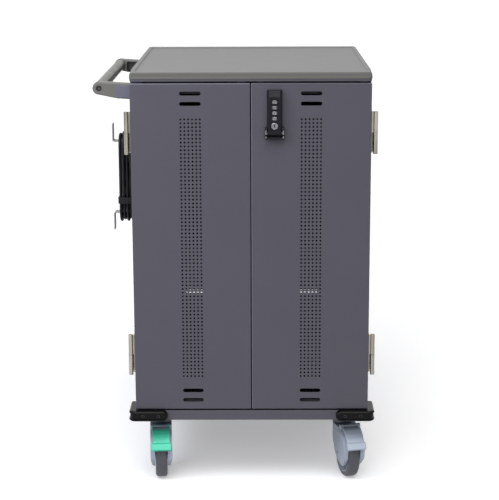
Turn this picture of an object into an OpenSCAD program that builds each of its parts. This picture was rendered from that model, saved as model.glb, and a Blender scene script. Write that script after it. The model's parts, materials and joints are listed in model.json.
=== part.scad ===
// Two-door steel cart that stores and charges laptops, on four swivel casters.
// Lengths are in millimetres. +Z is up, +X is to the right as one faces the doors, +Y runs to the back.
// The origin is on the floor, under the centre of the cart's outline.

/* [Cabinet] */
// Width over the doors
body_w = 610; // [500:5:760]
// Depth from the door faces to the rear door's face
body_d = 720; // [590:5:900]
// Height from the floor to the lid's rim
total_h = 1100; // [900:5:1350]
// Thickness of the folded sheet steel
sheet = 1.5; // [1:0.1:2.5]
// Width of the folded edges of the side panels
return_w = 25; // [18:1:32]
// Height of the base tray's edge
tray_h = 26; // [20:1:40]
// Depth of the top rails' box section
rail_d = 36; // [24:1:50]
// Height of the top rails
rail_h = 34; // [24:1:45]

/* [Lid] */
// Height of the lid over the cabinet
lid_h = 24; // [20:1:40]
// How far the lid's sides stand out past the body
lid_over = 1; // [0:0.5:6]
// Height of the raised rim
rim_h = 4; // [2:0.5:8]
// Width of the raised rim
rim_w = 12; // [8:1:24]
// Length of the stretch where the lid falls off to the front
fall_l = 80; // [50:5:120]
// Drop of the lid's front edge below the rim
fall_h = 13; // [8:1:16]
// Thickness of the lid's top
lid_wall = 4; // [3:0.5:6]

/* [Doors] */
// Depth of a door, its folded edges included
door_t = 22; // [18:1:30]
// Width of the gap between the two doors
centre_gap = 2.5; // [1.5:0.5:5]
// Gap between the doors and the lid
top_gap = 5.6; // [4:0.2:9]
// Gap between the doors and the base tray
bottom_gap = 4.5; // [3:0.5:8]
// Gap between the doors' inner face and the cabinet
face_gap = 2; // [1:0.5:4]
// Width of the doors' inner lips
lip_w = 20; // [12:1:30]
// Distance between the vents
vent_pitch = 9.8; // [8:0.2:14]
// Diameter of a vent
vent_d = 5; // [3:0.5:6]
// Number of vents side by side
vent_columns = 6; // [3:1:10]
// Plain height above and below the block of vents
vent_margin = 86; // [80:1:140]
// Length of a slot
slot_l = 54; // [30:1:80]
// Height of a slot
slot_h = 10; // [6:1:14]
// Distance between the two slots
slot_pitch = 26; // [18:1:36]
// Distance from a door's edge to its first slot
slot_margin = 25; // [18:1:40]

/* [Hinges] */
// Distance of the hinge pins outside the cabinet's sides
pin_out = 11; // [9:0.5:16]
// Distance of the hinge pins behind the door face
pin_in = 8; // [6:0.5:12]
// Diameter of the hinge barrels
barrel_d = 11.5; // [9:0.5:14]
// Diameter of the hinge pins
pin_d = 6; // [4:0.5:8]
// Height of a hinge
hinge_h = 109; // [70:1:140]
// Distance from the door's top edge to the upper hinge
hinge_margin = 71.5; // [60:0.5:120]
// Distance from the door's bottom edge to the lower hinge
hinge_foot = 92.5; // [60:0.5:120]
// Thickness of the hinge leaves
leaf_t = 2; // [1.5:0.5:3]
// Radial clearance of everything that turns on a pin
run_gap = 0.05; // [0.02:0.01:0.1]

/* [Lock] */
// Distance of the lock's centre line from the middle of the cart
lock_x = 60; // [48:1:80]
// Height of the lock's back plate
lock_h = 124; // [110:1:150]
// Width of the lock's back plate
lock_w = 39; // [34:1:46]
// Distance from the door's top edge to the lock
lock_margin = 15.4; // [10:0.2:60]
// How far the lever stands out of the door
lock_out = 22; // [20:1:28]
// Thickness of the back plate
plate_t = 3; // [2:0.5:4]
// Diameter of a number dial
dial_d = 16; // [12:0.5:18]
// Distance between the number dials
dial_pitch = 13.8; // [12:0.2:15]
// Diameter of the key plug
key_d = 17; // [10:0.5:18]
// Length of the latch cam
cam_l = 70; // [66:1:76]

/* [Handle] */
// Reach of the handle out of the cabinet's side
handle_reach = 98; // [80:1:130]
// Diameter of the handle's bar
bar_d = 30; // [24:1:36]
// Width of an arm along the side
arm_t = 30; // [24:1:40]
// Height of an arm where it meets the cabinet
arm_h = 39; // [34:1:50]
// Drop of the arm's upper edge below the lid's rim
arm_drop = 35; // [30:1:60]
// Height of an arm's round outer end
arm_end_d = 33; // [30:1:42]
// Rise of an arm's upper edge towards its outer end
arm_rise = 5.5; // [0:0.5:12]
// Distance from the front and rear faces to the arms
arm_margin = 45; // [36:1:80]
// Wall of the cast arms
arm_wall = 3.5; // [2.5:0.5:5]
// Length of the raised pad at an arm's root
pad_l = 42; // [30:1:55]

/* [Cord hooks and cord] */
// Distance from the door faces to the hooks' middle
hook_y = 340; // [300:5:420]
// Height of the upper hook's plate above the floor
hook_top = 877.5; // [780:0.5:900]
// Height between the two hooks' plates
hook_span = 202; // [160:1:240]
// Reach of a hook out of the side
hook_reach = 78; // [68:1:90]
// Width of a hook
hook_w = 30; // [24:1:32]
// Length of a hook's turned end
hook_tip = 50; // [46:1:70]
// Thickness of a hook
hook_t = 3; // [2:0.5:4]
// Diameter of the power cord
cord_d = 8; // [6:0.5:8]

/* [Corner bumpers] */
// Length of a bumper's two legs
bumper_l = 102; // [80:1:130]
// Height of a bumper
bumper_h = 28; // [22:1:29]
// How far a bumper stands out
bumper_t = 18; // [12:1:26]
// Diameter of a bumper's bolt heads
bumper_bolt_d = 10; // [8:0.5:14]

/* [Casters] */
// Diameter of a wheel
wheel_d = 125; // [100:5:140]
// Width of a wheel's tread
wheel_w = 34; // [26:1:36]
// Trail of a wheel behind its kingpin
trail = 40; // [34:1:46]
// Width of a fork
fork_w = 58; // [54:1:64]
// Height of the neck between fork and tray
neck_h = 44; // [30:1:60]
// Diameter of the neck
neck_d = 57; // [50:1:64]
// Distance of the kingpins from the cabinet's sides
king_side = 57; // [50:1:80]
// Distance of the kingpins from the front and back
king_end = 118; // [112:1:160]
// Turn of the front left caster
turn_left = 4; // [-20:1:20]
// Turn of the front right caster
turn_right = 15; // [-20:1:20]

/* [Device bay] */
// Distance between the upright dividers
divider_pitch = 55; // [32:1:60]
// Thickness of a divider
divider_t = 3; // [2:0.5:5]
// Height of a divider
divider_h = 200; // [140:5:240]
// Depth of a divider
divider_l = 300; // [220:5:340]
// Distance from the door faces to the partition
partition_y = 405; // [400:5:440]
// Share of the inner height at which the upper shelf lies
shelf_share = 0.5; // [0.45:0.01:0.55]

/* [Power bay] */
// Length of an outlet strip
strip_l = 480; // [400:5:480]
// Depth of an outlet strip
strip_d = 40; // [30:1:50]
// Height of an outlet strip
strip_h = 46; // [40:1:60]
// Distance between the outlets
outlet_pitch = 38; // [36:1:40]
// Width of the charge timer box
timer_w = 240; // [180:5:300]
// Depth of the charge timer box
timer_d = 120; // [80:5:160]
// Height of the charge timer box
timer_h = 80; // [60:5:120]

/* [Hidden] */
$fn = 48;

// Overrun of cuts past the faces that they open
cut = 1;
// Gap between pieces that pass each other
pass_gap = 0.4;
// Depth of the recess in the lock's lever, out of which the dials stand as far
recess_t = 1.5;
// Colours
door_c = "#5e5c66";
lid_c = "#96968f";
black_c = "#1c1c1f";
steel_c = "#c9c6bd";
grey_c = "#6e7171";
caster_c = "#8490a2";
tread_c = "#5b5b63";
inside_c = "#8b8d92";

// Heights from the floor up
wheel_gap = 4;
crown_t = 10;
fork_top = wheel_d + wheel_gap + crown_t;
tray_z = fork_top + neck_h;
deck_z = tray_z + tray_h;
door_z = deck_z + bottom_gap;
lid_z = total_h - lid_h;
door_h = lid_z - top_gap - door_z;
panel_h = lid_z - deck_z;
shelf_z = deck_z + panel_h * shelf_share;

// Depths from the door faces back
frame_y = door_t + face_gap;
rear_y = body_d - door_t;
back_y = rear_y - face_gap;
inner_w = body_w - 2 * sheet;
half_w = body_w / 2;

// Outline of the whole cart, from which its centre follows
lock_front = lock_out + recess_t;
low_x = -half_w - handle_reach;
high_x = half_w + bumper_t;
low_y = -max(bumper_t, lock_front);
high_y = body_d + bumper_t;
cart_x = -(low_x + high_x) / 2;
cart_y = -(low_y + high_y) / 2;

// Places of the casters' kingpins, and the turn of each
king_x = half_w - king_side;
rear_king_y = body_d - king_end;

// Moves what is drawn from the middle of the door faces to the cart's own frame
module cart() {
    translate([cart_x, cart_y, 0]) children();
}

// Draws a piece as it is and mirrored to the other side
module both_sides() {
    children();
    mirror([1, 0, 0]) children();
}

// Flat outline in X and Z, given its thickness towards +Y
module upright(t) {
    translate([0, t, 0]) rotate([90, 0, 0]) linear_extrude(height = t) children();
}

// Flat outline in Y and Z, given its thickness towards +X
module sideways(t) {
    rotate([90, 0, 90]) linear_extrude(height = t) children();
}

// Round bar along Y from the origin
module rod_y(r, l) {
    rotate([-90, 0, 0]) cylinder(r = r, h = l);
}

// Round bar along X, centred
module rod_x(r, l) {
    rotate([0, 90, 0]) cylinder(r = r, h = l, center = true);
}

// Flat outline with round ends, centred
module pill(l, h) {
    square([l - h, h], center = true);
    for (s = [-1, 1]) translate([s * (l - h) / 2, 0]) circle(d = h);
}

// Flat outline with rounded corners, centred
module round_rect(w, h, r) {
    square([w - 2 * r, h], center = true);
    square([w, h - 2 * r], center = true);
    for (sx = [-1, 1], sy = [-1, 1]) translate([sx * (w / 2 - r), sy * (h / 2 - r)]) circle(r = r);
}

// Side panel: one sheet with its front and rear edges folded in and a foot and a top flange
module side_panel() {
    d = back_y - frame_y;
    translate([-half_w, frame_y, deck_z]) difference() {
        cube([return_w, d, panel_h]);
        translate([sheet, sheet, sheet]) cube([return_w, d - 2 * sheet, panel_h - 2 * sheet]);
    }
}
module side_left() {
    color(door_c) cart() difference() {
        side_panel();
        translate([-half_w, gland_y, gland_z]) rod_x(gland_bore / 2, 4 * sheet);
        for (y = [arm_margin + arm_t / 2, body_d - arm_margin - arm_t / 2], z = screw_z)
            translate([-half_w, y, z]) rod_x(screw_r + run_gap, 4 * sheet);
    }
}
module side_right() {
    color(door_c) cart() mirror([1, 0, 0]) side_panel();
}

// Base tray: an upturned pan that the casters bolt under
module base_tray() {
    color(door_c) cart() translate([-half_w, 0, tray_z]) difference() {
        cube([body_w, body_d, tray_h]);
        translate([sheet, sheet, -cut]) cube([inner_w, body_d - 2 * sheet, tray_h - sheet + cut]);
    }
}

// Box rail across the cabinet between the side panels' folded edges
module rail(y) {
    w = body_w - 2 * return_w;
    translate([-w / 2, y, lid_z - rail_h]) difference() {
        cube([w, rail_d, rail_h]);
        translate([-cut, sheet, sheet]) cube([w + 2 * cut, rail_d - 2 * sheet, rail_h - 2 * sheet]);
    }
}
module header_rails() {
    color(door_c) cart() {
        rail(frame_y);
        rail(back_y - rail_d);
    }
}

// Lid: a shell whose top falls off to the front, with a rim on its other three sides
top_z = lid_h - rim_h;
fall_step_share = 0.1;
module lid_side() {
    polygon([[-lid_over, 0], [body_d + lid_over, 0], [body_d + lid_over, top_z],
        for (t = [0 : fall_step_share : 1])
            [fall_l * (1 - t) - lid_over * t, top_z - (fall_h - rim_h) * t * t]]);
}
module lid() {
    w = body_w + 2 * lid_over;
    color(lid_c) cart() difference() {
        translate([-w / 2, 0, lid_z]) union() {
            sideways(w) lid_side();
            for (x = [0, w - rim_w]) translate([x, fall_l, top_z])
                cube([rim_w, body_d - fall_l + lid_over, rim_h]);
            translate([0, body_d + lid_over - rim_w, top_z]) cube([w, rim_w, rim_h]);
        }
        translate([-inner_w / 2, fall_l, lid_z - cut])
            cube([inner_w, rear_y - fall_l, top_z - lid_wall + cut]);
    }
}

// Partition between the device bay and the power bay, with a slot on each level for the charging leads
window_side = 55;
window_h = 28;
module partition() {
    color(inside_c) cart() translate([0, partition_y, deck_z]) upright(sheet) difference() {
        translate([-inner_w / 2, sheet]) square([inner_w, panel_h - 2 * sheet]);
        for (z = [divider_h, shelf_z - deck_z + divider_h])
            translate([0, z + window_h]) pill(inner_w - 2 * window_side, window_h);
    }
}

// Upper shelf of the device bay: a deck with its front and side edges folded down
shelf_edge = 20;
module shelf_deck(y0, y1, z) {
    translate([-inner_w / 2, y0, z - shelf_edge]) difference() {
        cube([inner_w, y1 - y0, shelf_edge]);
        translate([sheet, sheet, -cut])
            cube([inner_w - 2 * sheet, y1 - y0 - 2 * sheet, shelf_edge - sheet + cut]);
    }
}
module shelf_upper() {
    color(inside_c) cart() shelf_deck(frame_y + sheet, partition_y, shelf_z);
}
// Adapter shelf of the power bay; the leads and the mains lead pass in front of it
adapter_y = partition_y + sheet;
adapter_front = adapter_y + strip_d + shelf_edge;
module adapter_shelf() {
    color(inside_c) cart() shelf_deck(adapter_front, back_y - sheet - rail_d, shelf_z);
}

// Upright dividers, as many as fit between the side panels' folded edges
slot_n = floor((inner_w - 2 * return_w) / divider_pitch);
divider_r = 30;
module divider() {
    sideways(divider_t) difference() {
        square([divider_l, divider_h]);
        difference() {
            translate([-cut, divider_h - divider_r]) square([divider_r + cut, divider_r + cut]);
            translate([divider_r, divider_h - divider_r]) circle(r = divider_r);
        }
    }
}
module dividers(z) {
    for (i = [0 : slot_n])
        translate([(i - slot_n / 2) * divider_pitch - divider_t / 2, partition_y - divider_l, z]) divider();
}
module dividers_lower() { color(inside_c) cart() dividers(deck_z); }
module dividers_upper() { color(inside_c) cart() dividers(shelf_z); }

// Outlet strips on the partition: a box with a faceplate of blade and earth slots
outlet_n = floor((strip_l - outlet_pitch) / outlet_pitch);
strip_face = 3;
blade_h = 7.5;
blade_w = 2;
blade_gap = 12.5;
strip_z_share = 0.35;
function strip_z(level) = (level == 0 ? deck_z : shelf_z) + panel_h / 2 * strip_z_share;
module strip() {
    translate([-strip_l / 2, 0, 0]) cube([strip_l, strip_d - strip_face, strip_h]);
    translate([0, strip_d - strip_face, strip_h / 2]) upright(strip_face) difference() {
        square([strip_l, strip_h], center = true);
        for (i = [0 : outlet_n - 1]) translate([(i - (outlet_n - 1) / 2) * outlet_pitch, 0]) {
            for (s = [-1, 1]) translate([s * blade_gap / 2, blade_w])
                square([blade_w, blade_h], center = true);
            translate([0, -blade_h]) circle(d = 2 * blade_w);
        }
    }
}
module power_strips() {
    color("#2c2c30") cart() for (level = [0, 1]) translate([0, adapter_y, strip_z(level)]) strip();
}

// Charge timer box on the base tray, against the partition
timer_edge = 6;
module charge_timer() {
    color("#d8d8d4") cart() translate([0, adapter_y + timer_d / 2, deck_z])
        linear_extrude(height = timer_h) round_rect(timer_w, timer_d, timer_edge);
}

// Mains leads that run inside, from the gland to the timer box and on to the two strips
lead_d = 7;
lead_r = 3 * lead_d;
lead_steps = 6;
// Quarter turn of a lead in X and Z, from one direction into the other
function lead_turn(corner, from, to) = [for (i = [0 : lead_steps]) let (a = 90 * i / lead_steps)
    corner + lead_r * (from * (1 - sin(a)) * -1 + to * (1 - cos(a)))];
module inner_leads() {
    y = adapter_y + strip_d / 2;
    start = [-half_w + sheet + gland_nut, gland_y, gland_z];
    timer_in = [-timer_w / 2, gland_y, deck_z + timer_h / 2];
    drop_x = start.x + lead_r + lead_d;
    color(black_c) cart() {
        for (z = [[deck_z + timer_h, strip_z(0)], [strip_z(0) + strip_h, strip_z(1)]])
            translate([timer_w / 4, y, z[0]]) cylinder(d = lead_d, h = z[1] - z[0]);
        tube([start, each lead_turn([drop_x, gland_y, gland_z], [1, 0, 0], [0, 0, -1]),
            each lead_turn([drop_x, gland_y, timer_in.z], [0, 0, -1], [1, 0, 0]), timer_in],
            lead_d, tube_facets, [0, 1, 0]);
    }
}

// Soft buffers between the lid and the doors' top corners
buffer_l = 22;
buffer_d = 9;
buffer_gap = 1.2;
module door_buffers() {
    h = top_gap - buffer_gap;
    color(black_c) cart() both_sides() for (x = [half_w - buffer_l, centre_gap + buffer_l])
        translate([x, door_t / 2, lid_z - h]) linear_extrude(height = h) pill(buffer_l, buffer_d);
}

// Hinge halves, drawn from the pin's axis at the hinge's middle: +X to the door, +Y away from its face
knuckle_gap = 1;
arm_bar = 2.5;
frame_leaf_l = 28;
knuckle_h = (hinge_h - knuckle_gap) / 2;
module barrel() {
    difference() {
        union() {
            cylinder(d = barrel_d, h = knuckle_h);
            children();
        }
        translate([0, 0, -cut]) cylinder(r = pin_d / 2 + run_gap, h = knuckle_h + 2 * cut);
    }
}
module frame_leaf() {
    step_y = frame_y - pin_in + barrel_d / 2;
    translate([0, 0, -hinge_h / 2]) barrel() {
        translate([-arm_bar / 2, 0, 0]) cube([arm_bar, step_y + arm_bar, knuckle_h]);
        translate([0, step_y, 0]) cube([pin_out, arm_bar, knuckle_h]);
        translate([pin_out - leaf_t, step_y, 0]) cube([leaf_t, frame_leaf_l, knuckle_h]);
    }
}
module door_leaf() {
    translate([0, 0, knuckle_gap / 2]) barrel() {
        translate([0, -arm_bar / 2, 0]) cube([pin_out, arm_bar, knuckle_h]);
        translate([pin_out - leaf_t, leaf_t - pin_in, 0]) cube([leaf_t, door_t - 2 * leaf_t, knuckle_h]);
    }
}
module hinge_pin() {
    translate([0, 0, -hinge_h / 2]) cylinder(d = pin_d, h = hinge_h - leaf_t);
}
upper_hinge_z = door_z + door_h - hinge_margin - hinge_h / 2;
lower_hinge_z = door_z + hinge_foot + hinge_h / 2;
module left_hinges() {
    for (z = [upper_hinge_z, lower_hinge_z]) translate([-half_w - pin_out, pin_in, z]) children();
}
module right_hinges() {
    mirror([1, 0, 0]) left_hinges() children();
}
module rear_hinges() {
    translate([0, body_d, 0]) mirror([0, 1, 0]) right_hinges() children();
}
module frame_leaves() {
    color(steel_c) cart() {
        left_hinges() frame_leaf();
        right_hinges() frame_leaf();
        rear_hinges() frame_leaf();
    }
}
module hinge_pins() {
    color(steel_c) cart() {
        left_hinges() hinge_pin();
        right_hinges() hinge_pin();
        rear_hinges() hinge_pin();
    }
}

// Door pan from its lower outer corner: a front skin, folded edges and inner lips
module door_pan(w, h) {
    upright(sheet) difference() {
        square([w, h]);
        children();
    }
    difference() {
        cube([w, door_t, h]);
        translate([sheet, -cut, sheet]) cube([w - 2 * sheet, door_t + 2 * cut, h - 2 * sheet]);
    }
    translate([0, door_t - sheet, 0]) upright(sheet) difference() {
        square([w, h]);
        translate([lip_w, lip_w]) square([w - 2 * lip_w, h - 2 * lip_w]);
    }
}
// Cuts of a front door's skin: a block of vents between two pairs of slots
module door_cuts(w, h) {
    rows = floor((h - 2 * vent_margin) / vent_pitch);
    for (i = [0 : vent_columns - 1], j = [0 : rows])
        translate([w / 2 + (i - (vent_columns - 1) / 2) * vent_pitch, h / 2 + (j - rows / 2) * vent_pitch])
            circle(d = vent_d, $fn = 16);
    for (k = [0, 1], s = [-1, 1])
        translate([w / 2, h / 2 + s * (h / 2 - slot_margin - k * slot_pitch)]) pill(slot_l, slot_h);
}
door_w = half_w - centre_gap / 2;
module left_door() {
    color(door_c) cart() translate([-half_w, 0, door_z]) door_pan(door_w, door_h) door_cuts(door_w, door_h);
}
module right_door() {
    color(door_c) cart() translate([half_w - door_w, 0, door_z]) door_pan(door_w, door_h) {
        door_cuts(door_w, door_h);
        translate([lock_x - half_w + door_w, lock_z - door_z]) circle(r = lock_boss_r + run_gap);
    }
}
module left_door_leaves() { color(steel_c) cart() left_hinges() door_leaf(); }
module right_door_leaves() { color(steel_c) cart() right_hinges() door_leaf(); }
module rear_door_leaves() { color(steel_c) cart() rear_hinges() door_leaf(); }

// Rear door with rows of vent slots, and its key lock with the latch cam
rear_lock_in = 43;
rear_lock_r = 9;
rear_head_r = 12;
rear_head_t = 2.5;
rear_cam_l = 34;
rear_cam_w = 14;
rear_cam_gap = 4.5;
rear_rows = 5;
rear_lock_x = -half_w + rear_lock_in;
rear_lock_z = door_z + door_h / 2;
module rear_door() {
    color(door_c) cart() translate([half_w, body_d, door_z]) rotate([0, 0, 180]) door_pan(body_w, door_h) {
        for (c = [-1, 1], k = [0 : rear_rows - 1], s = [-1, 1])
            translate([body_w / 2, door_h / 2] + [c * body_w / 4, s * (door_h / 2 - vent_margin - k * slot_pitch)])
                pill(2 * slot_l, slot_h);
        translate([body_w - rear_lock_in, door_h / 2]) circle(r = rear_lock_r + run_gap);
    }
}
module rear_lock() {
    cam_y = back_y - sheet - cam_t - rear_cam_gap;
    color(steel_c) cart() translate([rear_lock_x, 0, rear_lock_z]) difference() {
        union() {
            translate([0, cam_y, 0]) rod_y(rear_lock_r, body_d + rear_head_t - cam_y);
            translate([0, body_d + run_gap, 0]) rod_y(rear_head_r, rear_head_t - run_gap);
            translate([0, cam_y, 0]) upright(cam_t) {
                circle(d = rear_cam_w);
                translate([0, -rear_cam_l / 2]) square([rear_cam_w, rear_cam_l], center = true);
            }
        }
        translate([-keyway_w / 2, body_d + rear_head_t - keyway_t, -keyway_h / 2])
            cube([keyway_w, keyway_t + cut, keyway_h]);
    }
}

// Lock on the right door, drawn from the spindle's axis in the door's face
hub_up = 15;
lock_boss_r = 11;
spindle_r = 6;
web_t = 3;
ear_t = 5.5;
ear_in = 2;
ear_top = 15;
nose_h = 6;
lever_in = 1;
lever_pin_r = 2.5;
foot_r = 6;
facet_l = 16;
facet_t = 10;
recess_w = 24;
cam_t = 3;
cam_w = 18;
cam_gap = 1.5;
keyway_w = 2;
keyway_h = 8;
keyway_t = 3;
lock_z = door_z + door_h - lock_margin - lock_h + hub_up;
lever_pin_share = 0.614;
lever_pin_y = -lock_out * lever_pin_share;
lever_half = lock_w / 2 - lever_in;
web_y = -plate_t - pass_gap - web_t;
lever_top = lock_h - hub_up - lever_in;
recess_top = lever_top - facet_l + recess_t;
dial_y = -lock_out + dial_d / 2 - recess_t;
dial_top = recess_top - dial_pitch;
dial_share = 0.7;
dial_t = dial_pitch * dial_share;
axle_r = 1.5;
key_z = key_d / 2 + hub_up - recess_t * 3;
module lock_frame() {
    cart() translate([lock_x, 0, lock_z]) children();
}
module lock_plate() {
    color(black_c) lock_frame() difference() {
        union() {
            translate([0, -plate_t, lock_h / 2 - hub_up]) upright(plate_t)
                round_rect(lock_w, lock_h, plate_t);
            rod_y(lock_boss_r, door_t - web_t);
        }
        translate([0, -plate_t - cut, 0]) rod_y(spindle_r + run_gap, door_t + plate_t + 2 * cut);
    }
}
module lock_hub() {
    ear_x = lock_w / 2 - pass_gap;
    color(black_c) lock_frame() difference() {
        union() {
            translate([-ear_x - ear_t, web_y, -hub_up])
                cube([2 * (ear_x + ear_t), web_t, hub_up + ear_top]);
            for (s = [-1, 1]) translate([s * (ear_x + ear_t / 2) - ear_t / 2, ear_in - lock_out, -hub_up])
                cube([ear_t, lock_out - ear_in + web_y + web_t, hub_up + ear_top]);
            translate([-ear_x, ear_in - lock_out, -hub_up])
                cube([2 * ear_x, lock_out - ear_in + web_y + web_t, nose_h]);
            translate([0, web_y, 0]) rod_y(spindle_r, door_t + cam_gap + cam_t - web_y);
        }
        translate([0, lever_pin_y, 0]) rod_x(lever_pin_r + run_gap, 2 * lock_w);
    }
}
module lever_pin() {
    color(steel_c) lock_frame() translate([0, lever_pin_y, 0])
        rod_x(lever_pin_r, lock_w + 2 * ear_t - pass_gap);
}
module lock_cam() {
    color(steel_c) lock_frame() translate([0, door_t + cam_gap, 0]) upright(cam_t) difference() {
        union() {
            circle(r = lock_boss_r);
            translate([0, (cam_w / 2 - cam_l) / 2]) square([cam_w, cam_l - cam_w / 2], center = true);
            translate([0, cam_w / 2 - cam_l]) circle(d = cam_w);
        }
        circle(r = spindle_r + run_gap);
    }
}
module lock_lever() {
    foot_y = web_y - pass_gap;
    back_face_y = -plate_t - pass_gap;
    step_z = ear_top + 2 * pass_gap;
    color(black_c) lock_frame() difference() {
        union() {
            translate([-lever_half, 0, 0]) sideways(2 * lever_half) polygon([[foot_y, 0], [foot_y, step_z],
                [back_face_y, step_z], [back_face_y, lever_top], [facet_t - lock_out, lever_top],
                [-lock_out, lever_top - facet_l], [-lock_out, 0]]);
            translate([0, lever_pin_y, 0]) rod_x(foot_r, 2 * lever_half);
        }
        translate([0, lever_pin_y, 0]) rod_x(lever_pin_r + run_gap, 3 * lever_half);
        translate([0, -lock_out - cut, 0]) upright(recess_t + cut) {
            translate([-recess_w / 2, nose_h]) square([recess_w, recess_top - recess_w / 2 - nose_h]);
            translate([0, recess_top - recess_w / 2]) circle(d = recess_w);
        }
        for (i = [0 : 3]) translate([0, dial_y, dial_top - i * dial_pitch])
            cylinder(r = dial_d / 2 + pass_gap, h = dial_t + 2 * pass_gap, center = true);
        translate([0, dial_y, dial_top - 4 * dial_pitch + dial_t])
            cylinder(r = axle_r + run_gap, h = 4 * dial_pitch);
        translate([0, -lock_out - cut, key_z]) rod_y(key_d / 2 + run_gap, lock_out / 2 + cut);
    }
}
module dial_axle() {
    color(steel_c) lock_frame() translate([0, dial_y, dial_top - 4 * dial_pitch + dial_t])
        cylinder(r = axle_r, h = 4 * dial_pitch);
}
module dial(i) {
    color(steel_c) lock_frame() translate([0, dial_y, dial_top - i * dial_pitch]) difference() {
        cylinder(d = dial_d, h = dial_t, center = true);
        cylinder(r = axle_r + run_gap, h = dial_pitch, center = true);
    }
}
module dial_1() { dial(0); }
module dial_2() { dial(1); }
module dial_3() { dial(2); }
module dial_4() { dial(3); }
module key_plug() {
    color(steel_c) lock_frame() translate([0, 0, key_z]) difference() {
        translate([0, recess_t - lock_out - recess_t / 2, 0]) rod_y(key_d / 2, lock_out / 2 - recess_t);
        translate([-keyway_w / 2, -lock_out - cut, -keyway_h / 2])
            cube([keyway_w, keyway_t + cut, keyway_h]);
    }
}

// Push handle: two cast arms, open on their inner side, and a round bar between them
arm_r = arm_end_d / 2;
arm_x = -half_w - handle_reach + arm_r;
arm_top = total_h - arm_drop;
arm_z = arm_top + arm_rise - arm_r;
arm_low = arm_top - arm_h;
pad_t = 1.5;
pad_r = 8;
bolt_r = 4;
bolt_head_r = 6.5;
bolt_head_t = 4;
bolt_l = 36;
screw_r = 2.5;
screw_head_r = 4.5;
screw_head_t = 3;
screw_z = [arm_low + arm_h / 4, arm_top - arm_h / 4];
module arm_outline() {
    polygon([[-half_w, arm_low], [-half_w, arm_top], [arm_x, arm_z + arm_r],
        [arm_x, arm_z - arm_r], [-half_w - pad_l, arm_low + pad_t * 2]]);
    translate([arm_x, arm_z]) circle(r = arm_r);
}
module arm_pocket() {
    x0 = -half_w - arm_wall;
    x1 = arm_x + arm_r + arm_wall;
    slope = (arm_z - arm_r - arm_low) / (half_w + arm_x);
    polygon([[x0, arm_low + arm_wall], [x0, arm_top - arm_wall], [x1, arm_top - arm_wall + pad_t],
        [x1, arm_low + 2 * arm_wall + pad_t + slope]]);
}
// One arm, its outer face at Y = 0 and its open side towards +Y
module handle_arm() {
    difference() {
        union() {
            upright(arm_t) arm_outline();
            translate([0, -pad_t, 0]) upright(pad_t + cut) {
                translate([-half_w - pad_l + pad_r, arm_low + pad_r])
                    square([pad_l - pad_r, arm_h - pad_r - pad_t * 2]);
                for (z = [arm_low + pad_r + pad_t, arm_top - pad_r - pad_t])
                    translate([-half_w - pad_l + pad_r, z]) circle(r = pad_r - pad_t);
            }
        }
        translate([0, arm_wall, 0]) upright(arm_t) arm_pocket();
        translate([arm_x, -cut, arm_z]) rod_y(bolt_r + run_gap, arm_t + 2 * cut);
        translate([arm_x, -cut, arm_z]) rod_y(bolt_head_r + pass_gap, bolt_head_t + cut);
        for (z = screw_z) translate([-half_w, arm_t / 2, z]) rod_x(screw_r + run_gap, 4 * arm_wall);
    }
}
module front_arm_place() {
    translate([0, arm_margin, 0]) children();
}
module rear_arm_place() {
    translate([0, body_d - arm_margin, 0]) mirror([0, 1, 0]) children();
}
module handle_arm_front() { color(lid_c) cart() front_arm_place() handle_arm(); }
module handle_arm_rear() { color(lid_c) cart() rear_arm_place() handle_arm(); }
module handle_bar() {
    l = body_d - 2 * arm_margin - 2 * arm_t;
    color(lid_c) cart() translate([arm_x, arm_margin + arm_t, arm_z]) difference() {
        rod_y(bar_d / 2, l);
        for (y = [-cut, l - bolt_l + cut]) translate([0, y, 0]) rod_y(bolt_r + run_gap, bolt_l);
        translate([0, bolt_l + arm_wall, 0]) rod_y(bar_d / 2 - arm_wall, l - 2 * bolt_l - 2 * arm_wall);
    }
}
module arm_bolts() {
    translate([arm_x, 0, arm_z]) {
        rod_y(bolt_head_r, bolt_head_t);
        rod_y(bolt_r, arm_t + bolt_l - 2 * bolt_head_t);
    }
    for (z = screw_z) translate([-half_w + sheet, arm_t / 2, z]) {
        translate([screw_head_t / 2, 0, 0]) rod_x(screw_head_r, screw_head_t);
        translate([-arm_wall / 2 - sheet / 2, 0, 0]) rod_x(screw_r, arm_wall + sheet);
    }
}
module handle_bolts() {
    color(steel_c) cart() {
        front_arm_place() arm_bolts();
        rear_arm_place() arm_bolts();
    }
}

// Cord hooks: a flange on the side, a plate and a turned end
hook_x = -half_w - hook_reach;
hook_flange = 40;
hook_low = hook_top - hook_span;
module hook(z, up) {
    translate([0, hook_y - hook_w / 2, z]) mirror([0, 0, up ? 0 : 1]) translate([0, 0, -hook_t])
    difference() {
        union() {
            translate([hook_x, 0, 0]) cube([hook_reach, hook_w, hook_t]);
            translate([hook_x, 0, 0]) cube([hook_t, hook_w, hook_tip]);
            translate([-half_w - hook_t, 0, hook_t - hook_flange]) cube([hook_t, hook_w, hook_flange]);
        }
        for (y = [hook_w / 4, hook_w * 3 / 4])
            translate([-half_w, y, -hook_flange / 2]) rod_x(screw_r + run_gap, 3 * hook_t);
    }
}
module hook_upper() { color(grey_c) cart() hook(hook_top, true); }
module hook_lower() { color(grey_c) cart() hook(hook_low, false); }
module hook_screws() {
    middle = hook_t + hook_flange / 2;
    color(steel_c) cart() for (y = [-1, 1], z = [hook_top - middle, hook_low + middle])
        translate([-half_w - hook_t, hook_y + y * hook_w / 4, z]) {
            translate([-screw_head_t / 2, 0, 0]) rod_x(screw_head_r, screw_head_t);
            translate([hook_t / 2, 0, 0]) rod_x(screw_r, hook_t);
        }
}

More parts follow.
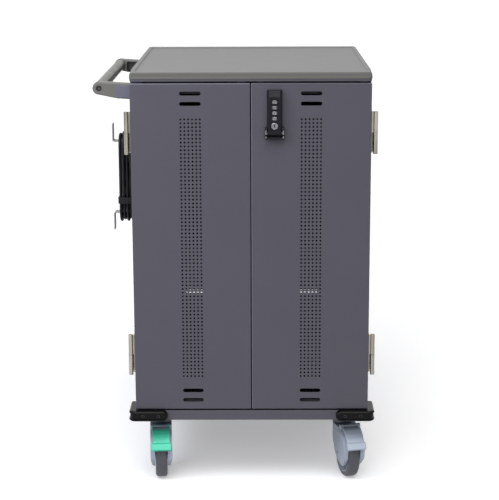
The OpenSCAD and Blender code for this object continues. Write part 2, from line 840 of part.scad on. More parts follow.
// Corner bumpers: two legs with round ends round each corner of the base tray, bolted on
bumper_z = tray_z + tray_h / 2 + sheet;
bolt_shares = [0.36, 0.76];
bumper_recess = 3;
module four_corners() {
    both_sides() children();
    translate([0, body_d, 0]) mirror([0, 1, 0]) both_sides() children();
}
module bumper_faces() {
    for (a = bolt_shares) {
        translate([-half_w - bumper_t + a * bumper_l, -bumper_t, bumper_z]) children();
        translate([-half_w - bumper_t, -bumper_t + a * bumper_l, bumper_z]) rotate([0, 0, -90]) children();
    }
}
module bumper() {
    difference() {
        union() {
            translate([-half_w - bumper_t + bumper_l / 2, -bumper_t, bumper_z]) upright(bumper_t)
                pill(bumper_l, bumper_h);
            translate([-half_w - bumper_t, -bumper_t + bumper_l / 2, bumper_z]) sideways(bumper_t)
                pill(bumper_l, bumper_h);
        }
        bumper_faces() {
            translate([0, -cut, 0]) rod_y(bumper_bolt_d / 2 + sheet, bumper_recess + cut);
            rod_y(screw_r + run_gap, bumper_t + cut);
        }
    }
}
module corner_bumpers() { color(black_c) cart() four_corners() bumper(); }
module bumper_bolts() {
    color("#3a3a3e") cart() four_corners() bumper_faces() {
        rod_y(bumper_bolt_d / 2, bumper_recess);
        rod_y(screw_r, bumper_t);
    }
}

// Casters, drawn from the kingpin's axis on the floor, trailing towards -Y
king_r = 8;
neck_gap = 0.5;
plate_w = 78;
mount_t = 4;
wheel_r = wheel_d / 2;
axle_pin_r = 6;
slot_side = 2;
module caster_place(x, y, turn) {
    cart() translate([x, y, 0]) rotate([0, 0, turn]) children();
}
module front_left_place() { caster_place(-king_x, king_end, turn_left) children(); }
module front_right_place() { caster_place(king_x, king_end, turn_right) children(); }
module rear_left_place() { caster_place(-king_x, rear_king_y, 0) children(); }
module rear_right_place() { caster_place(king_x, rear_king_y, 0) children(); }
module caster_mount() {
    top = deck_z - sheet;
    translate([-plate_w / 2, -plate_w / 2, top - mount_t]) cube([plate_w, plate_w, mount_t]);
    translate([0, 0, fork_top + neck_gap])
        cylinder(d = neck_d, h = top - fork_top - neck_gap - mount_t / 2);
    translate([0, 0, fork_top - crown_t]) cylinder(r = king_r, h = top - fork_top);
}
module caster_mounts() {
    color("#3c3f47") {
        cart() for (s = [-1, 1], y = [king_end, rear_king_y]) translate([s * king_x, y, 0]) caster_mount();
    }
}
// Outline of a fork's side, from the wheel's centre
fork_shares = [[0.256, 0.128], [0.16, -0.128], [0.064, -0.2], [-0.064, -0.2], [-0.176, -0.112],
    [-0.368, 0.192], [-0.4, 0.336], [-0.288, 0.496], [-0.192, 0.576], [-0.08, 0.612]];
pedal_in_share = 0.624;
pedal_top_angle = 100;
pedal_low_angle = 157;
pedal_lip_angle = 143;
pedal_t = 8;
pedal_lip = 6;
pedal_w = 46;
pedal_lip_w = 52;
pedal_pin_r = 2.5;
pedal_barrel_r = 5;
pedal_in_r = pedal_in_share * wheel_d;
pedal_pin = [-trail + (pedal_in_r + pedal_barrel_r) * cos(pedal_top_angle),
    wheel_r + (pedal_in_r + pedal_barrel_r) * sin(pedal_top_angle)];
module fork(brake) {
    lug_t = (fork_w - pedal_w) / 2 - pass_gap;
    color(caster_c) {
        difference() {
            union() {
                translate([-fork_w / 2, 0, 0]) sideways(fork_w) {
                    polygon([[neck_d / 2, fork_top], [neck_d / 2, fork_top - 2 * crown_t],
                        for (p = fork_shares)
                            [-trail + p.x * wheel_d, min(fork_top, wheel_r + p.y * wheel_d)],
                        [-trail, fork_top]]);
                }
                if (brake) for (s = [-1, 1]) translate([s * (fork_w - lug_t) / 2, 0, 0]) {
                    translate([0, pedal_pin.x, pedal_pin.y]) rod_x(pedal_barrel_r, lug_t);
                    translate([-lug_t / 2, pedal_pin.x - pedal_barrel_r, fork_top - crown_t])
                        cube([lug_t, 2 * pedal_barrel_r, pedal_pin.y - fork_top + crown_t]);
                }
            }
            translate([0, -trail, wheel_r]) rod_x(wheel_r + wheel_gap, wheel_w + 2 * slot_side);
            translate([0, -trail, wheel_r]) rod_x(axle_pin_r + run_gap, 2 * fork_w);
            translate([0, 0, fork_top - crown_t - neck_gap])
                cylinder(r = king_r + run_gap, h = crown_t + neck_gap + cut);
            if (brake) translate([0, pedal_pin.x, pedal_pin.y]) rod_x(pedal_pin_r + run_gap, 2 * fork_w);
        }
        translate([0, -trail, wheel_r]) rod_x(axle_pin_r, fork_w);
        if (brake) translate([0, pedal_pin.x, pedal_pin.y]) rod_x(pedal_pin_r, fork_w);
    }
}
module fork_front_left() { front_left_place() fork(true); }
module fork_front_right() { front_right_place() fork(true); }
module fork_rear_left() { rear_left_place() fork(false); }
module fork_rear_right() { rear_right_place() fork(false); }

// Wheel: a moulded rim and the tread bonded round it
tread_t = 12.5;
tread_r = 8;
rim_in = 3;
hub_r = 16;
web_half = 5;
module wheel() {
    rim_r = wheel_r - tread_t;
    w = wheel_w / 2;
    translate([0, -trail, wheel_r]) rotate([0, 90, 0]) {
        color("#a6adba") rotate_extrude() {
            translate([axle_pin_r + run_gap, -w - slot_side / 2])
                square([hub_r - axle_pin_r - run_gap, 2 * w + slot_side]);
            translate([hub_r - cut, -web_half]) square([rim_r - hub_r, 2 * web_half]);
            translate([rim_r - rim_in - cut, -w + rim_in / 2]) square([rim_in + cut, 2 * w - rim_in]);
        }
        color(tread_c) rotate_extrude() {
            translate([rim_r + run_gap, -w]) square([tread_t - tread_r - run_gap, 2 * w]);
            translate([rim_r + run_gap, -w + tread_r]) square([tread_t - run_gap, 2 * (w - tread_r)]);
            for (s = [-1, 1]) translate([wheel_r - tread_r, s * (w - tread_r)]) circle(r = tread_r);
        }
    }
}
module wheel_front_left() { front_left_place() wheel(); }
module wheel_front_right() { front_right_place() wheel(); }
module wheel_rear_left() { rear_left_place() wheel(); }
module wheel_rear_right() { rear_right_place() wheel(); }

// Brake pedal: a curved plate over the wheel, on a pin between the fork's lugs
module sector(r, a0, a1) {
    far = 2 * r;
    intersection() {
        circle(r = r);
        polygon([[0, 0], far * [cos(a0), sin(a0)], far * [cos((a0 + a1) / 2), sin((a0 + a1) / 2)],
            far * [cos(a1), sin(a1)]]);
    }
}
module pedal() {
    translate([0, -trail, wheel_r]) difference() {
        union() {
            translate([-pedal_w / 2, 0, 0]) sideways(pedal_w)
                sector(pedal_in_r + pedal_t, pedal_top_angle, pedal_low_angle);
            translate([-pedal_lip_w / 2, 0, 0]) sideways(pedal_lip_w)
                sector(pedal_in_r + pedal_t + pedal_lip, pedal_lip_angle, pedal_low_angle);
            translate([0, pedal_pin.x + trail, pedal_pin.y - wheel_r]) rod_x(pedal_barrel_r, pedal_w);
        }
        rod_x(pedal_in_r, 2 * pedal_w);
        translate([0, pedal_pin.x + trail, pedal_pin.y - wheel_r])
            rod_x(pedal_pin_r + run_gap, 2 * pedal_w);
    }
}
module pedal_left() { color("#4bc8a5") front_left_place() pedal(); }
module pedal_right() { color("#a2aabb") front_right_place() pedal(); }

// Power cord: from a gland on the side it drops onto the hooks, winds round both, and ends in its plug
layer_share = 1.175;
spiral_share = 1.35;
layer_pitch = cord_d * layer_share;
spiral_pitch = cord_d * spiral_share;
hank_r = 3 * cord_d;
hank_in = 28;
hank_x = -half_w - hank_in;
corner_drop = sqrt(pow(hank_r - cord_d / 2 - pass_gap, 2) - pow(hook_w / 2, 2));
hank_high = hook_top - corner_drop;
hank_low = hook_low + corner_drop;
run_l = hank_high - hank_low;
arc_l = PI * (hank_r + spiral_pitch / 2);
half_l = run_l + arc_l;
hank_halves = 11;
run_steps = 4;
arc_steps = 8;
start_drop = 64;
tube_sides = 6;
// Length at which a layer starts, climbs and ends, with the share of the spiral and the layer reached
function grow(s) = lookup(s, [[start_drop + cord_d, 0], [2 * half_l, 1], [2 * half_l + run_l, 1],
    [5 * half_l, 0], [5 * half_l + run_l, 0], [8 * half_l, 1], [8 * half_l + run_l, 1], [11 * half_l, 0]]);
function layer(s) = lookup(s, [[2 * half_l, 0], [2 * half_l + run_l, 1], [5 * half_l, 1],
    [5 * half_l + run_l, 2], [8 * half_l, 2], [8 * half_l + run_l, 3]]);
// Point of the hank: run or arc of a half loop, at a length along it; even halves run down at the back
function hank_point(h, along) =
    let (s = h * half_l + along, r = hank_r + spiral_pitch * grow(s), x = hank_x - layer_pitch * layer(s),
        side = h % 2 == 0 ? 1 : -1, a = 180 * max(along - run_l, 0) / arc_l,
        z = min(along, run_l))
    [x, hook_y + side * r * cos(a), side > 0 ? hank_high - z - r * sin(a) : hank_low + z + r * sin(a)];
hank_steps = [for (i = [0 : run_steps - 1]) i * run_l / run_steps,
    for (i = [0 : arc_steps - 1]) run_l + i * arc_l / arc_steps];
hank_path = [hank_point(0, start_drop), hank_point(0, start_drop + cord_d),
    for (h = [0 : hank_halves - 1], a = hank_steps)
        if (h > 0 || a > start_drop + 2 * cord_d) hank_point(h, a),
    hank_point(hank_halves - 1, half_l), hank_point(hank_halves, cord_d)];

// Ring of a tube round a point of its path, and the tube itself; no stretch of the path runs along across
function unit(v) = v / norm(v);
function along_path(p, i) = unit(p[min(i + 1, len(p) - 1)] - p[max(i - 1, 0)]);
function ring(p, i, r, n, across) =
    let (t = along_path(p, i), u = unit(cross(t, across)), v = cross(t, u))
    [for (k = [0 : n - 1]) p[i] + r * (cos(360 * k / n) * u + sin(360 * k / n) * v)];
module tube(path, d, n, across = [1, 0, 0]) {
    last = len(path) - 1;
    points = [for (i = [0 : last]) each ring(path, i, d / 2, n, across)];
    sides = [for (i = [0 : last - 1], k = [0 : n - 1])
        let (a = i * n + k, b = i * n + (k + 1) % n) each [[a, b + n, b], [a, a + n, b + n]]];
    caps = [for (k = [1 : n - 2]) each [[0, k, k + 1], [last * n, last * n + k + 1, last * n + k]]];
    polyhedron(points = points, faces = concat(sides, caps));
}
// Least gap between stretches of a tube that lie more than a quarter loop apart
function least_gap(p, d, skip) =
    min([for (i = [0 : len(p) - skip - 1], j = [i + skip : len(p) - 1]) norm(p[i] - p[j])]) - d;
echo(hank_gap = least_gap(hank_path, cord_d, (run_steps + arc_steps) / 2));

// Route of the cord from the gland down to the hank, and from the hank up to the plug, from the middle of
// the door faces' foot
lead_route = [[-320, 410, 920], [-320, 402, 920], [-320, 387, 917], [-320, 375, 909],
    [-320, 367, 897], [-320, 364, 882], [-321, 364, 865], [-325, 364, 849], [-329, 364, 833],
    [-332, 364, 818], [-333, 364, 807]];
end_route = [[-361, 316, 702], [-360.5, 317.5, 709], [-358.5, 320.5, 717], [-355, 326.5, 725],
    [-351, 333, 733], [-348.5, 337.5, 741], [-347.5, 339.5, 748], [-347, 340, 755], [-347, 340, 760]];
tube_facets = 10;
gland_y = 448;
gland_z = 920;
gland_bore = 20;
gland_nut = 8;
gland_d = 28;
relief_l = 24;
relief_d = 13;
module cord_lead() {
    color(black_c) cart() tube([each lead_route, hank_path[0]], cord_d, tube_facets);
}
module cord_hank() {
    color(black_c) cart() tube(hank_path, cord_d, tube_sides);
}
module cord_end() {
    color(black_c) cart() tube([hank_path[len(hank_path) - 1], each end_route], cord_d, tube_facets);
}
// Gland: a nut inside, a shank through the side and an elbow whose tapered relief points to the front
module cord_gland() {
    x = lead_route[0].x;
    color(black_c) cart() {
        difference() {
            union() {
                translate([-half_w + sheet, gland_y, gland_z]) rotate([0, 90, 0])
                    cylinder(d = gland_bore + gland_nut, h = gland_nut);
                translate([-half_w - cut, gland_y, gland_z]) rotate([0, 90, 0])
                    cylinder(r = gland_bore / 2 - run_gap, h = sheet + 2 * cut);
                translate([x, gland_y, gland_z]) rotate([0, 90, 0]) cylinder(d = gland_d, h = -half_w - x);
                translate([x, gland_y, gland_z]) sphere(d = gland_d);
                translate([x, gland_y - gland_d / 2, gland_z]) rod_y(relief_d, gland_d / 2);
            }
        }
        translate([x, lead_route[0].y + relief_l, gland_z]) rotate([90, 0, 0])
            cylinder(r1 = relief_d - 3 * sheet, r2 = cord_d / 2 + sheet, h = relief_l);
    }
}
// Plug: a body with tapered shoulders, its strain relief below and its blades above
plug_w = 33;
plug_d = 26;
plug_h = 22;
plug_taper_h = 10;
plug_relief_l = 20;
blade_l = 16;
blade_t = 1.6;
module cord_plug() {
    foot = end_route[len(end_route) - 1];
    body_z = plug_relief_l + plug_taper_h;
    color(black_c) cart() translate(foot) {
        cylinder(r1 = cord_d / 2 + sheet, r2 = plug_d / 3, h = plug_relief_l);
        translate([0, 0, plug_relief_l]) intersection() {
            translate([0, plug_d / 2, 0]) rotate([90, 0, 0]) linear_extrude(height = plug_d)
                polygon([[-plug_w / 4, 0], [plug_w / 4, 0], [plug_w / 2, plug_taper_h],
                    [plug_w / 2, plug_taper_h + plug_h], [-plug_w / 2, plug_taper_h + plug_h],
                    [-plug_w / 2, plug_taper_h]]);
            linear_extrude(height = body_z + plug_h) round_rect(plug_w, plug_d, plug_d / 4);
        }
        for (s = [-1, 1]) translate([s * blade_gap / 2 - blade_t / 2, -blade_h / 2, body_z + plug_h])
            cube([blade_t, blade_h, blade_l]);
        translate([0, plug_d / 4, body_z + plug_h]) cylinder(r = blade_t * 1.5, h = blade_l + blade_t);
    }
}
// Strap round the front runs and the plug's end of the cord
tie_up = 18;
tie_z = hank_low + tie_up;
tie_h = 18;
tie_t = 2.5;
tie_r = 7;
module cord_tie() {
    x0 = hank_x - 3 * layer_pitch - cord_d / 2 - pass_gap;
    x1 = hank_x + cord_d / 2 + pass_gap;
    y0 = hook_y - hank_r - spiral_pitch - cord_d / 2 - pass_gap;
    y1 = end_route[4].y + pass_gap;
    color("#101012") cart() translate([(x0 + x1) / 2, (y0 + y1) / 2, tie_z]) linear_extrude(height = tie_h)
        difference() {
            round_rect(x1 - x0 + 2 * tie_t, y1 - y0 + 2 * tie_t, tie_r);
            round_rect(x1 - x0, y1 - y0, tie_r - tie_t);
        }
}

side_left();
side_right();
base_tray();
header_rails();
lid();
partition();
shelf_upper();
dividers_lower();
dividers_upper();
adapter_shelf();
power_strips();
charge_timer();
inner_leads();
door_buffers();
frame_leaves();
hinge_pins();
corner_bumpers();
bumper_bolts();
handle_arm_front();
handle_arm_rear();
handle_bar();
handle_bolts();
hook_upper();
hook_lower();
hook_screws();
caster_mounts();
cord_gland();
cord_lead();
cord_hank();
cord_end();
cord_tie();
cord_plug();
left_door();
left_door_leaves();
right_door();
right_door_leaves();
lock_plate();
lock_hub();
lever_pin();
lock_cam();
lock_lever();
dial_axle();
dial_1();
dial_2();
dial_3();
dial_4();
key_plug();
rear_door();
rear_door_leaves();
rear_lock();
fork_front_left();
fork_front_right();
fork_rear_left();
fork_rear_right();
wheel_front_left();
wheel_front_right();
wheel_rear_left();
wheel_rear_right();
pedal_left();
pedal_right();
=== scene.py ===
"""Looks of the laptop charging cart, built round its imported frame, which is in metres."""

import json
import math

import bmesh
import bpy
from mathutils import Matrix, Vector

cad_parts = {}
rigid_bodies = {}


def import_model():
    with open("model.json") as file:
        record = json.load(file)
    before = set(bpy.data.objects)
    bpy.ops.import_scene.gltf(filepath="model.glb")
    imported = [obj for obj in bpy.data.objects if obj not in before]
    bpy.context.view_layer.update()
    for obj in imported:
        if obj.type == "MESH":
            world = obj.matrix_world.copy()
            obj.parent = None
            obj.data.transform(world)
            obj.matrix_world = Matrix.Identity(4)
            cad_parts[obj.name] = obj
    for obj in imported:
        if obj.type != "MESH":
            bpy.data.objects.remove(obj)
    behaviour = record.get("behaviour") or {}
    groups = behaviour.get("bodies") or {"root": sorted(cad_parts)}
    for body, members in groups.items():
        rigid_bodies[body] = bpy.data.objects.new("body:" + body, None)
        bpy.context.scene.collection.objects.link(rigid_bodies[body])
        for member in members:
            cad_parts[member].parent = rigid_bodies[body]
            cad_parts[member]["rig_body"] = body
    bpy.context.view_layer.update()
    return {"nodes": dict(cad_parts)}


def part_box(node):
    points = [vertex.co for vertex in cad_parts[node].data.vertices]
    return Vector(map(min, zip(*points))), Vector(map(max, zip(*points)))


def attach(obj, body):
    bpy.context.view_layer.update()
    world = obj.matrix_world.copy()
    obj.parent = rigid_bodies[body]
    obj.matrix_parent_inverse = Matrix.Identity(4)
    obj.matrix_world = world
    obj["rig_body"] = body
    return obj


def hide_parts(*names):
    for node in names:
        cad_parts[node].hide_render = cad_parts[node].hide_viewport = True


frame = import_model()
MM = 0.001
X, Y, Z = Vector((1, 0, 0)), Vector((0, 1, 0)), Vector((0, 0, 1))

# Middle and front of the cabinet, from the frame
TRAY_LOW, TRAY_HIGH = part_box("base_tray")
MID_X = (TRAY_LOW.x + TRAY_HIGH.x) / 2
FRONT_Y = TRAY_LOW.y


def new_object(name, data):
    obj = bpy.data.objects.new(name, data)
    bpy.context.scene.collection.objects.link(obj)
    return obj


def cabinet(x, y, z):
    """Point given in millimetres from the middle of the door faces' foot, in metres in the frame."""
    return Vector((MID_X + x * MM, FRONT_Y + y * MM, z * MM))


# Camera

CAMERA_PLACE = (24.9, -3794.9, 1495.1)
CAMERA_YAW = math.radians(-0.442)
CAMERA_PITCH = math.radians(12.665)
CAMERA_ROLL = math.radians(0.206)
CAMERA_LENS = 109.14
SENSOR = 36.0


def make_camera():
    data = bpy.data.cameras.new("camera")
    data.sensor_fit = "HORIZONTAL"
    data.sensor_width = SENSOR
    data.lens = CAMERA_LENS
    data.clip_end = 100
    flat = math.cos(CAMERA_PITCH)
    forward = Vector((math.sin(CAMERA_YAW) * flat, math.cos(CAMERA_YAW) * flat, -math.sin(CAMERA_PITCH)))
    level = Vector((math.cos(CAMERA_YAW), -math.sin(CAMERA_YAW), 0))
    down = forward.cross(level)
    right = math.cos(CAMERA_ROLL) * level + math.sin(CAMERA_ROLL) * down
    up = math.sin(CAMERA_ROLL) * level - math.cos(CAMERA_ROLL) * down
    turn = Matrix((right, up, -forward)).transposed().to_4x4()
    camera = new_object("camera", data)
    camera.matrix_world = Matrix.Translation(cabinet(*CAMERA_PLACE)) @ turn
    bpy.context.scene.camera = camera


make_camera()

# Materials

GRAIN_DEPTH = 0.2 * MM


def srgb(colour, factor):
    """Linear colour of an 8-bit one, times a factor."""
    shares = [value / 255 for value in colour]
    linear = [v / 12.92 if v <= 0.04045 else ((v + 0.055) / 1.055) ** 2.4 for v in shares]
    return (*(min(1.0, v * factor) for v in linear), 1.0)


def feed(tree, node, inputs):
    """Gives a node's inputs their values, or links them where a value is a socket."""
    for name, value in inputs.items():
        if isinstance(value, bpy.types.NodeSocket):
            tree.links.new(value, node.inputs[name])
        else:
            node.inputs[name].default_value = value


def add(tree, kind, inputs, output, **settings):
    """Adds a shader node and gives back one of its outputs."""
    node = tree.nodes.new("ShaderNode" + kind)
    for name, value in settings.items():
        setattr(node, name, value)
    feed(tree, node, inputs)
    return node.outputs[output]


def noise(tree, vector, scale, detail):
    return add(tree, "TexNoise", {"Vector": vector, "Scale": scale, "Detail": detail}, "Fac")


def spread(tree, factor, low, high):
    """Maps a noise's middle range to low and high."""
    return add(tree, "MapRange", {"Value": factor, "From Min": 0.3, "From Max": 0.7, "To Min": low,
                                  "To Max": high}, "Result")


def mixed(tree, factor, first, second):
    return add(tree, "Mix", {"Factor": factor, "A": first, "B": second}, "Result", data_type="RGBA")


def finish_of(name, colour, rough, mottle, grain, grain_scale=900, mottle_scale=7, rough_spread=0.05,
              metallic=0.0, specular=0.5, stretch=(1, 1, 1)):
    """Material whose colour and gloss vary a little and whose surface has a fine grain."""
    made = bpy.data.materials.new(name)
    made.use_nodes = True
    tree = made.node_tree
    coords = add(tree, "TexCoord", {}, "Object")
    place = add(tree, "Mapping", {"Vector": coords, "Scale": stretch}, "Vector")
    cloud = spread(tree, noise(tree, place, mottle_scale, 3.0), 0.0, 1.0)
    smear = noise(tree, place, mottle_scale * 4, 4.0)
    fine = noise(tree, place, grain_scale, 2.0)
    feed(tree, tree.nodes["Principled BSDF"], {
        "Metallic": metallic, "Specular IOR Level": specular,
        "Base Color": mixed(tree, cloud, srgb(colour, 1 - mottle), srgb(colour, 1 + mottle)),
        "Roughness": spread(tree, smear, rough - rough_spread, rough + rough_spread),
        "Normal": add(tree, "Bump", {"Height": fine, "Strength": grain, "Distance": GRAIN_DEPTH}, "Normal")})
    return made


# Each finish: its name, 8-bit colour, roughness, the share by which its colour varies, its grain's strength
# and, where it isn't the usual one, the grain's scale
PAINT = finish_of("cabinet_paint", (79, 77, 86), 0.45, 0.02, 0.25, 700, specular=0.3, rough_spread=0.02)
# Paler copy of the door paint: painted highlight on the doors' folded edges
EDGE_HIGHLIGHT = finish_of("door_edge_painted_highlight", (138, 140, 154), 0.45, 0.02, 0.2, 700)
LID = finish_of("lid_finish", (118, 118, 116), 0.5, 0.01, 0.2, specular=0.4, rough_spread=0.01)
# Darker copy of the lid finish: painted shade on the front of the deck's fall
LID_FALL_SHADE = finish_of("lid_front_finish", (83, 82, 79), 0.5, 0.01, 0.2, specular=0.35, rough_spread=0.01)
# Slightly darker copy of the cabinet paint: painted shade on the shelves, partition and dividers inside the
# cabinet
INSIDE_SHADE = finish_of("inner_paint", (73, 72, 79), 0.5, 0.05, 0.2, 700, specular=0.3)
HANDLE = finish_of("handle_finish", (98, 97, 92), 0.4, 0.02, 0.2, 800)
HANDLE_PAD = finish_of("handle_pad_finish", (94, 94, 109), 0.4, 0.02, 0.15, 800)
HOOK = finish_of("hook_paint", (152, 154, 152), 0.42, 0.05, 0.2, 700)
RUBBER = finish_of("bumper_rubber", (9, 9, 11), 0.2, 0.1, 0.06, 500, specular=0.12)
BUFFER = finish_of("buffer_rubber", (58, 58, 72), 0.6, 0.1, 0.2)
NICKEL = finish_of("nickel", (158, 153, 143), 0.26, 0.4, 0.15, 600, mottle_scale=190, metallic=1.0,
                   stretch=(1, 1, 0.04))
STEEL = finish_of("plated_steel", (186, 186, 184), 0.3, 0.06, 0.1, metallic=1.0)
DARK_STEEL = finish_of("dark_steel", (38, 39, 44), 0.35, 0.1, 0.15, metallic=0.6)
LOCK_BLACK = finish_of("lock_black", (24, 24, 31), 0.45, 0.1, 0.2, 1200, specular=0.14)
DIAL = finish_of("dial_chrome", (134, 134, 139), 0.25, 0.25, 0.1, mottle_scale=260, metallic=1.0)
# Dark ink of the dial numbers, also used as painted shade in the key plug's keyway
INK_AND_SHADE = finish_of("dial_numbers", (12, 12, 14), 0.5, 0.1, 0.1, specular=0.2)
JACKET = finish_of("cord_jacket", (15, 15, 17), 0.38, 0.2, 0.3, 1500, mottle_scale=30, specular=0.25)
PLUG_BLACK = finish_of("plug_black", (17, 17, 19), 0.42, 0.1, 0.25, 1200, specular=0.25)
HOUSING = finish_of("caster_housing", (168, 177, 192), 0.36, 0.04, 0.15, 700)
NECK = finish_of("caster_neck", (68, 74, 87), 0.4, 0.08, 0.15)
RIM = finish_of("wheel_rim", (158, 165, 178), 0.4, 0.04, 0.12)
TREAD = finish_of("wheel_tread", (72, 74, 80), 0.52, 0.09, 0.3, mottle_scale=40)
GREEN = finish_of("pedal_green", (72, 206, 170), 0.42, 0.04, 0.2)
GREY = finish_of("pedal_grey", (174, 184, 197), 0.4, 0.03, 0.15)
STRIP = finish_of("strip_plastic", (42, 42, 46), 0.45, 0.08, 0.2)
TIMER = finish_of("timer_plastic", (214, 214, 210), 0.5, 0.03, 0.25)

# Cord: from its gland on the side it drops onto the hooks, winds round both and ends in its plug.
# The route's points are in millimetres from the middle of the door faces' foot.

CORD_D = 8.0
LEAD_ROUTE = [(-320, 410, 920), (-320, 402, 920), (-320, 387, 917), (-320, 375, 909), (-320, 367, 897),
              (-320, 364, 882), (-321, 364, 865), (-325, 364, 849), (-329, 364, 833), (-332, 364, 818),
              (-333, 364, 807)]
END_ROUTE = [(-361, 316, 702), (-360.5, 317.5, 709), (-358.5, 320.5, 717), (-355, 326.5, 725),
             (-351, 333, 733), (-348.5, 337.5, 741), (-347.5, 339.5, 748), (-347, 340, 755),
             (-347, 340, 760)]
HOOK_Y = 340.0
HOOK_TOP = 877.5
HOOK_LOW = 675.5
HOOK_W = 30.0
HANK_X = -333.0
HANK_R = 3 * CORD_D
LAYER_PITCH = 1.175 * CORD_D
SPIRAL_PITCH = 1.35 * CORD_D
PASS_GAP = 0.4
HANK_HALVES = 11
START_DROP = 64.0
CORNER_DROP = math.sqrt((HANK_R - CORD_D / 2 - PASS_GAP) ** 2 - (HOOK_W / 2) ** 2)
HANK_HIGH = HOOK_TOP - CORNER_DROP
HANK_LOW = HOOK_LOW + CORNER_DROP
RUN = HANK_HIGH - HANK_LOW
ARC = math.pi * (HANK_R + SPIRAL_PITCH / 2)
HALF = RUN + ARC
RUN_STEPS = 8
ARC_STEPS = 20


def lookup(value, table):
    """Straight-line look-up, flat past the table's ends."""
    if value <= table[0][0]:
        return table[0][1]
    for (low, start), (high, end) in zip(table, table[1:]):
        if value <= high:
            return start + (end - start) * (value - low) / (high - low)
    return table[-1][1]


def hank_point(half, along):
    """Point of the hank: half loop and length along its run and arc. Even halves run down at the back."""
    s = half * HALF + along
    grow = lookup(s, [(START_DROP + CORD_D, 0), (2 * HALF, 1), (2 * HALF + RUN, 1), (5 * HALF, 0),
                      (5 * HALF + RUN, 0), (8 * HALF, 1), (8 * HALF + RUN, 1), (11 * HALF, 0)])
    layer = lookup(s, [(2 * HALF, 0), (2 * HALF + RUN, 1), (5 * HALF, 1), (5 * HALF + RUN, 2), (8 * HALF, 2),
                       (8 * HALF + RUN, 3)])
    radius = HANK_R + SPIRAL_PITCH * grow
    side = 1 if half % 2 == 0 else -1
    angle = math.pi * max(along - RUN, 0) / ARC
    rise = min(along, RUN)
    turn = radius * math.sin(angle)
    z = HANK_HIGH - rise - turn if side > 0 else HANK_LOW + rise + turn
    return HANK_X - LAYER_PITCH * layer, HOOK_Y + side * radius * math.cos(angle), z


def hank_route():
    points = [hank_point(0, START_DROP), hank_point(0, START_DROP + CORD_D)]
    steps = [i * RUN / RUN_STEPS for i in range(RUN_STEPS)]
    steps += [RUN + i * ARC / ARC_STEPS for i in range(ARC_STEPS)]
    for half in range(HANK_HALVES):
        points += [hank_point(half, along) for along in steps if half > 0 or along > START_DROP + 2 * CORD_D]
    return points + [hank_point(HANK_HALVES - 1, HALF), hank_point(HANK_HALVES, CORD_D)]


def dress(obj, *materials):
    obj.data.materials.clear()
    for made in materials:
        obj.data.materials.append(made)
    return obj


def carry(obj, body, slot, *nodes):
    """Lets a piece ride on a body and stand for nodes. The slot is not used."""
    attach(obj, body)
    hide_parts(*nodes)
    return obj


def make_cord():
    points = [cabinet(*p) for p in LEAD_ROUTE + hank_route() + END_ROUTE]
    curve = bpy.data.curves.new("power_cord", "CURVE")
    curve.dimensions = "3D"
    curve.bevel_depth = CORD_D * MM / 2
    curve.bevel_resolution = 3
    curve.use_fill_caps = True
    line = curve.splines.new("POLY")
    line.points.add(len(points) - 1)
    for knot, point in zip(line.points, points):
        knot.co = (*point, 1)
    line.use_smooth = True
    cord = dress(new_object("power_cord", curve), JACKET)
    return carry(cord, "cabinet", "cord_jacket", "cord_lead", "cord_hank", "cord_end"), points


# Mesh helpers

NEAR = 0.00002


def mesh_object(name, vertices, faces, *materials):
    mesh = bpy.data.meshes.new(name)
    mesh.from_pydata([tuple(v) for v in vertices], [], faces)
    mesh.validate()
    mesh.update()
    return dress(new_object(name, mesh), *materials)


def outward(obj):
    """Turns a closed mesh's faces to point outwards, with doubled vertices joined."""
    shape = bmesh.new()
    shape.from_mesh(obj.data)
    bmesh.ops.remove_doubles(shape, verts=shape.verts, dist=NEAR)
    bmesh.ops.recalc_face_normals(shape, faces=shape.faces)
    shape.to_mesh(obj.data)
    shape.free()
    return obj


def prism(name, outline, axis, low, high, *materials):
    """Solid of an outline in two axes, drawn out from low to high along the third."""
    count = len(outline)
    order = {"x": lambda p, t: (t, p[0], p[1]), "y": lambda p, t: (p[0], t, p[1]),
             "z": lambda p, t: (p[0], p[1], t)}[axis]
    vertices = [order(p, low) for p in outline] + [order(p, high) for p in outline]
    faces = [tuple(range(count)), tuple(range(2 * count - 1, count - 1, -1))]
    faces += [(i, i + count, (i + 1) % count + count, (i + 1) % count) for i in range(count)]
    return outward(mesh_object(name, vertices, faces, *materials))


def cylinder(name, centre, axis, radius, length, material, segments=48):
    """Solid rod whose middle is at centre."""
    shape = bmesh.new()
    bmesh.ops.create_cone(shape, cap_ends=True, segments=segments, radius1=radius, radius2=radius,
                          depth=length)
    turn = Z.rotation_difference(axis).to_matrix().to_4x4()
    bmesh.ops.transform(shape, matrix=Matrix.Translation(centre) @ turn, verts=shape.verts)
    mesh = bpy.data.meshes.new(name)
    shape.to_mesh(mesh)
    shape.free()
    return dress(new_object(name, mesh), material)


def apply(obj):
    """Makes what the modifiers give into the mesh itself."""
    bpy.context.view_layer.update()
    graph = bpy.context.evaluated_depsgraph_get()
    mesh = bpy.data.meshes.new_from_object(obj.evaluated_get(graph))
    obj.modifiers.clear()
    obj.data = mesh
    return obj


def bevel(obj, width, segments=2, angle=50, weighted=False):
    step = obj.modifiers.new("bevel", "BEVEL")
    step.width = width
    step.segments = segments
    step.limit_method = "WEIGHT" if weighted else "ANGLE"
    step.angle_limit = math.radians(angle)
    step.miter_outer = "MITER_ARC"
    return apply(obj)


def combine(obj, others, operation):
    for other in others:
        step = obj.modifiers.new("boolean", "BOOLEAN")
        step.operation = operation
        step.solver = "EXACT"
        step.object = other
        apply(obj)
        bpy.data.objects.remove(other)
    return obj


def cut(obj, *others):
    return combine(obj, others, "DIFFERENCE")


def joined(obj, *others):
    return combine(obj, others, "UNION")


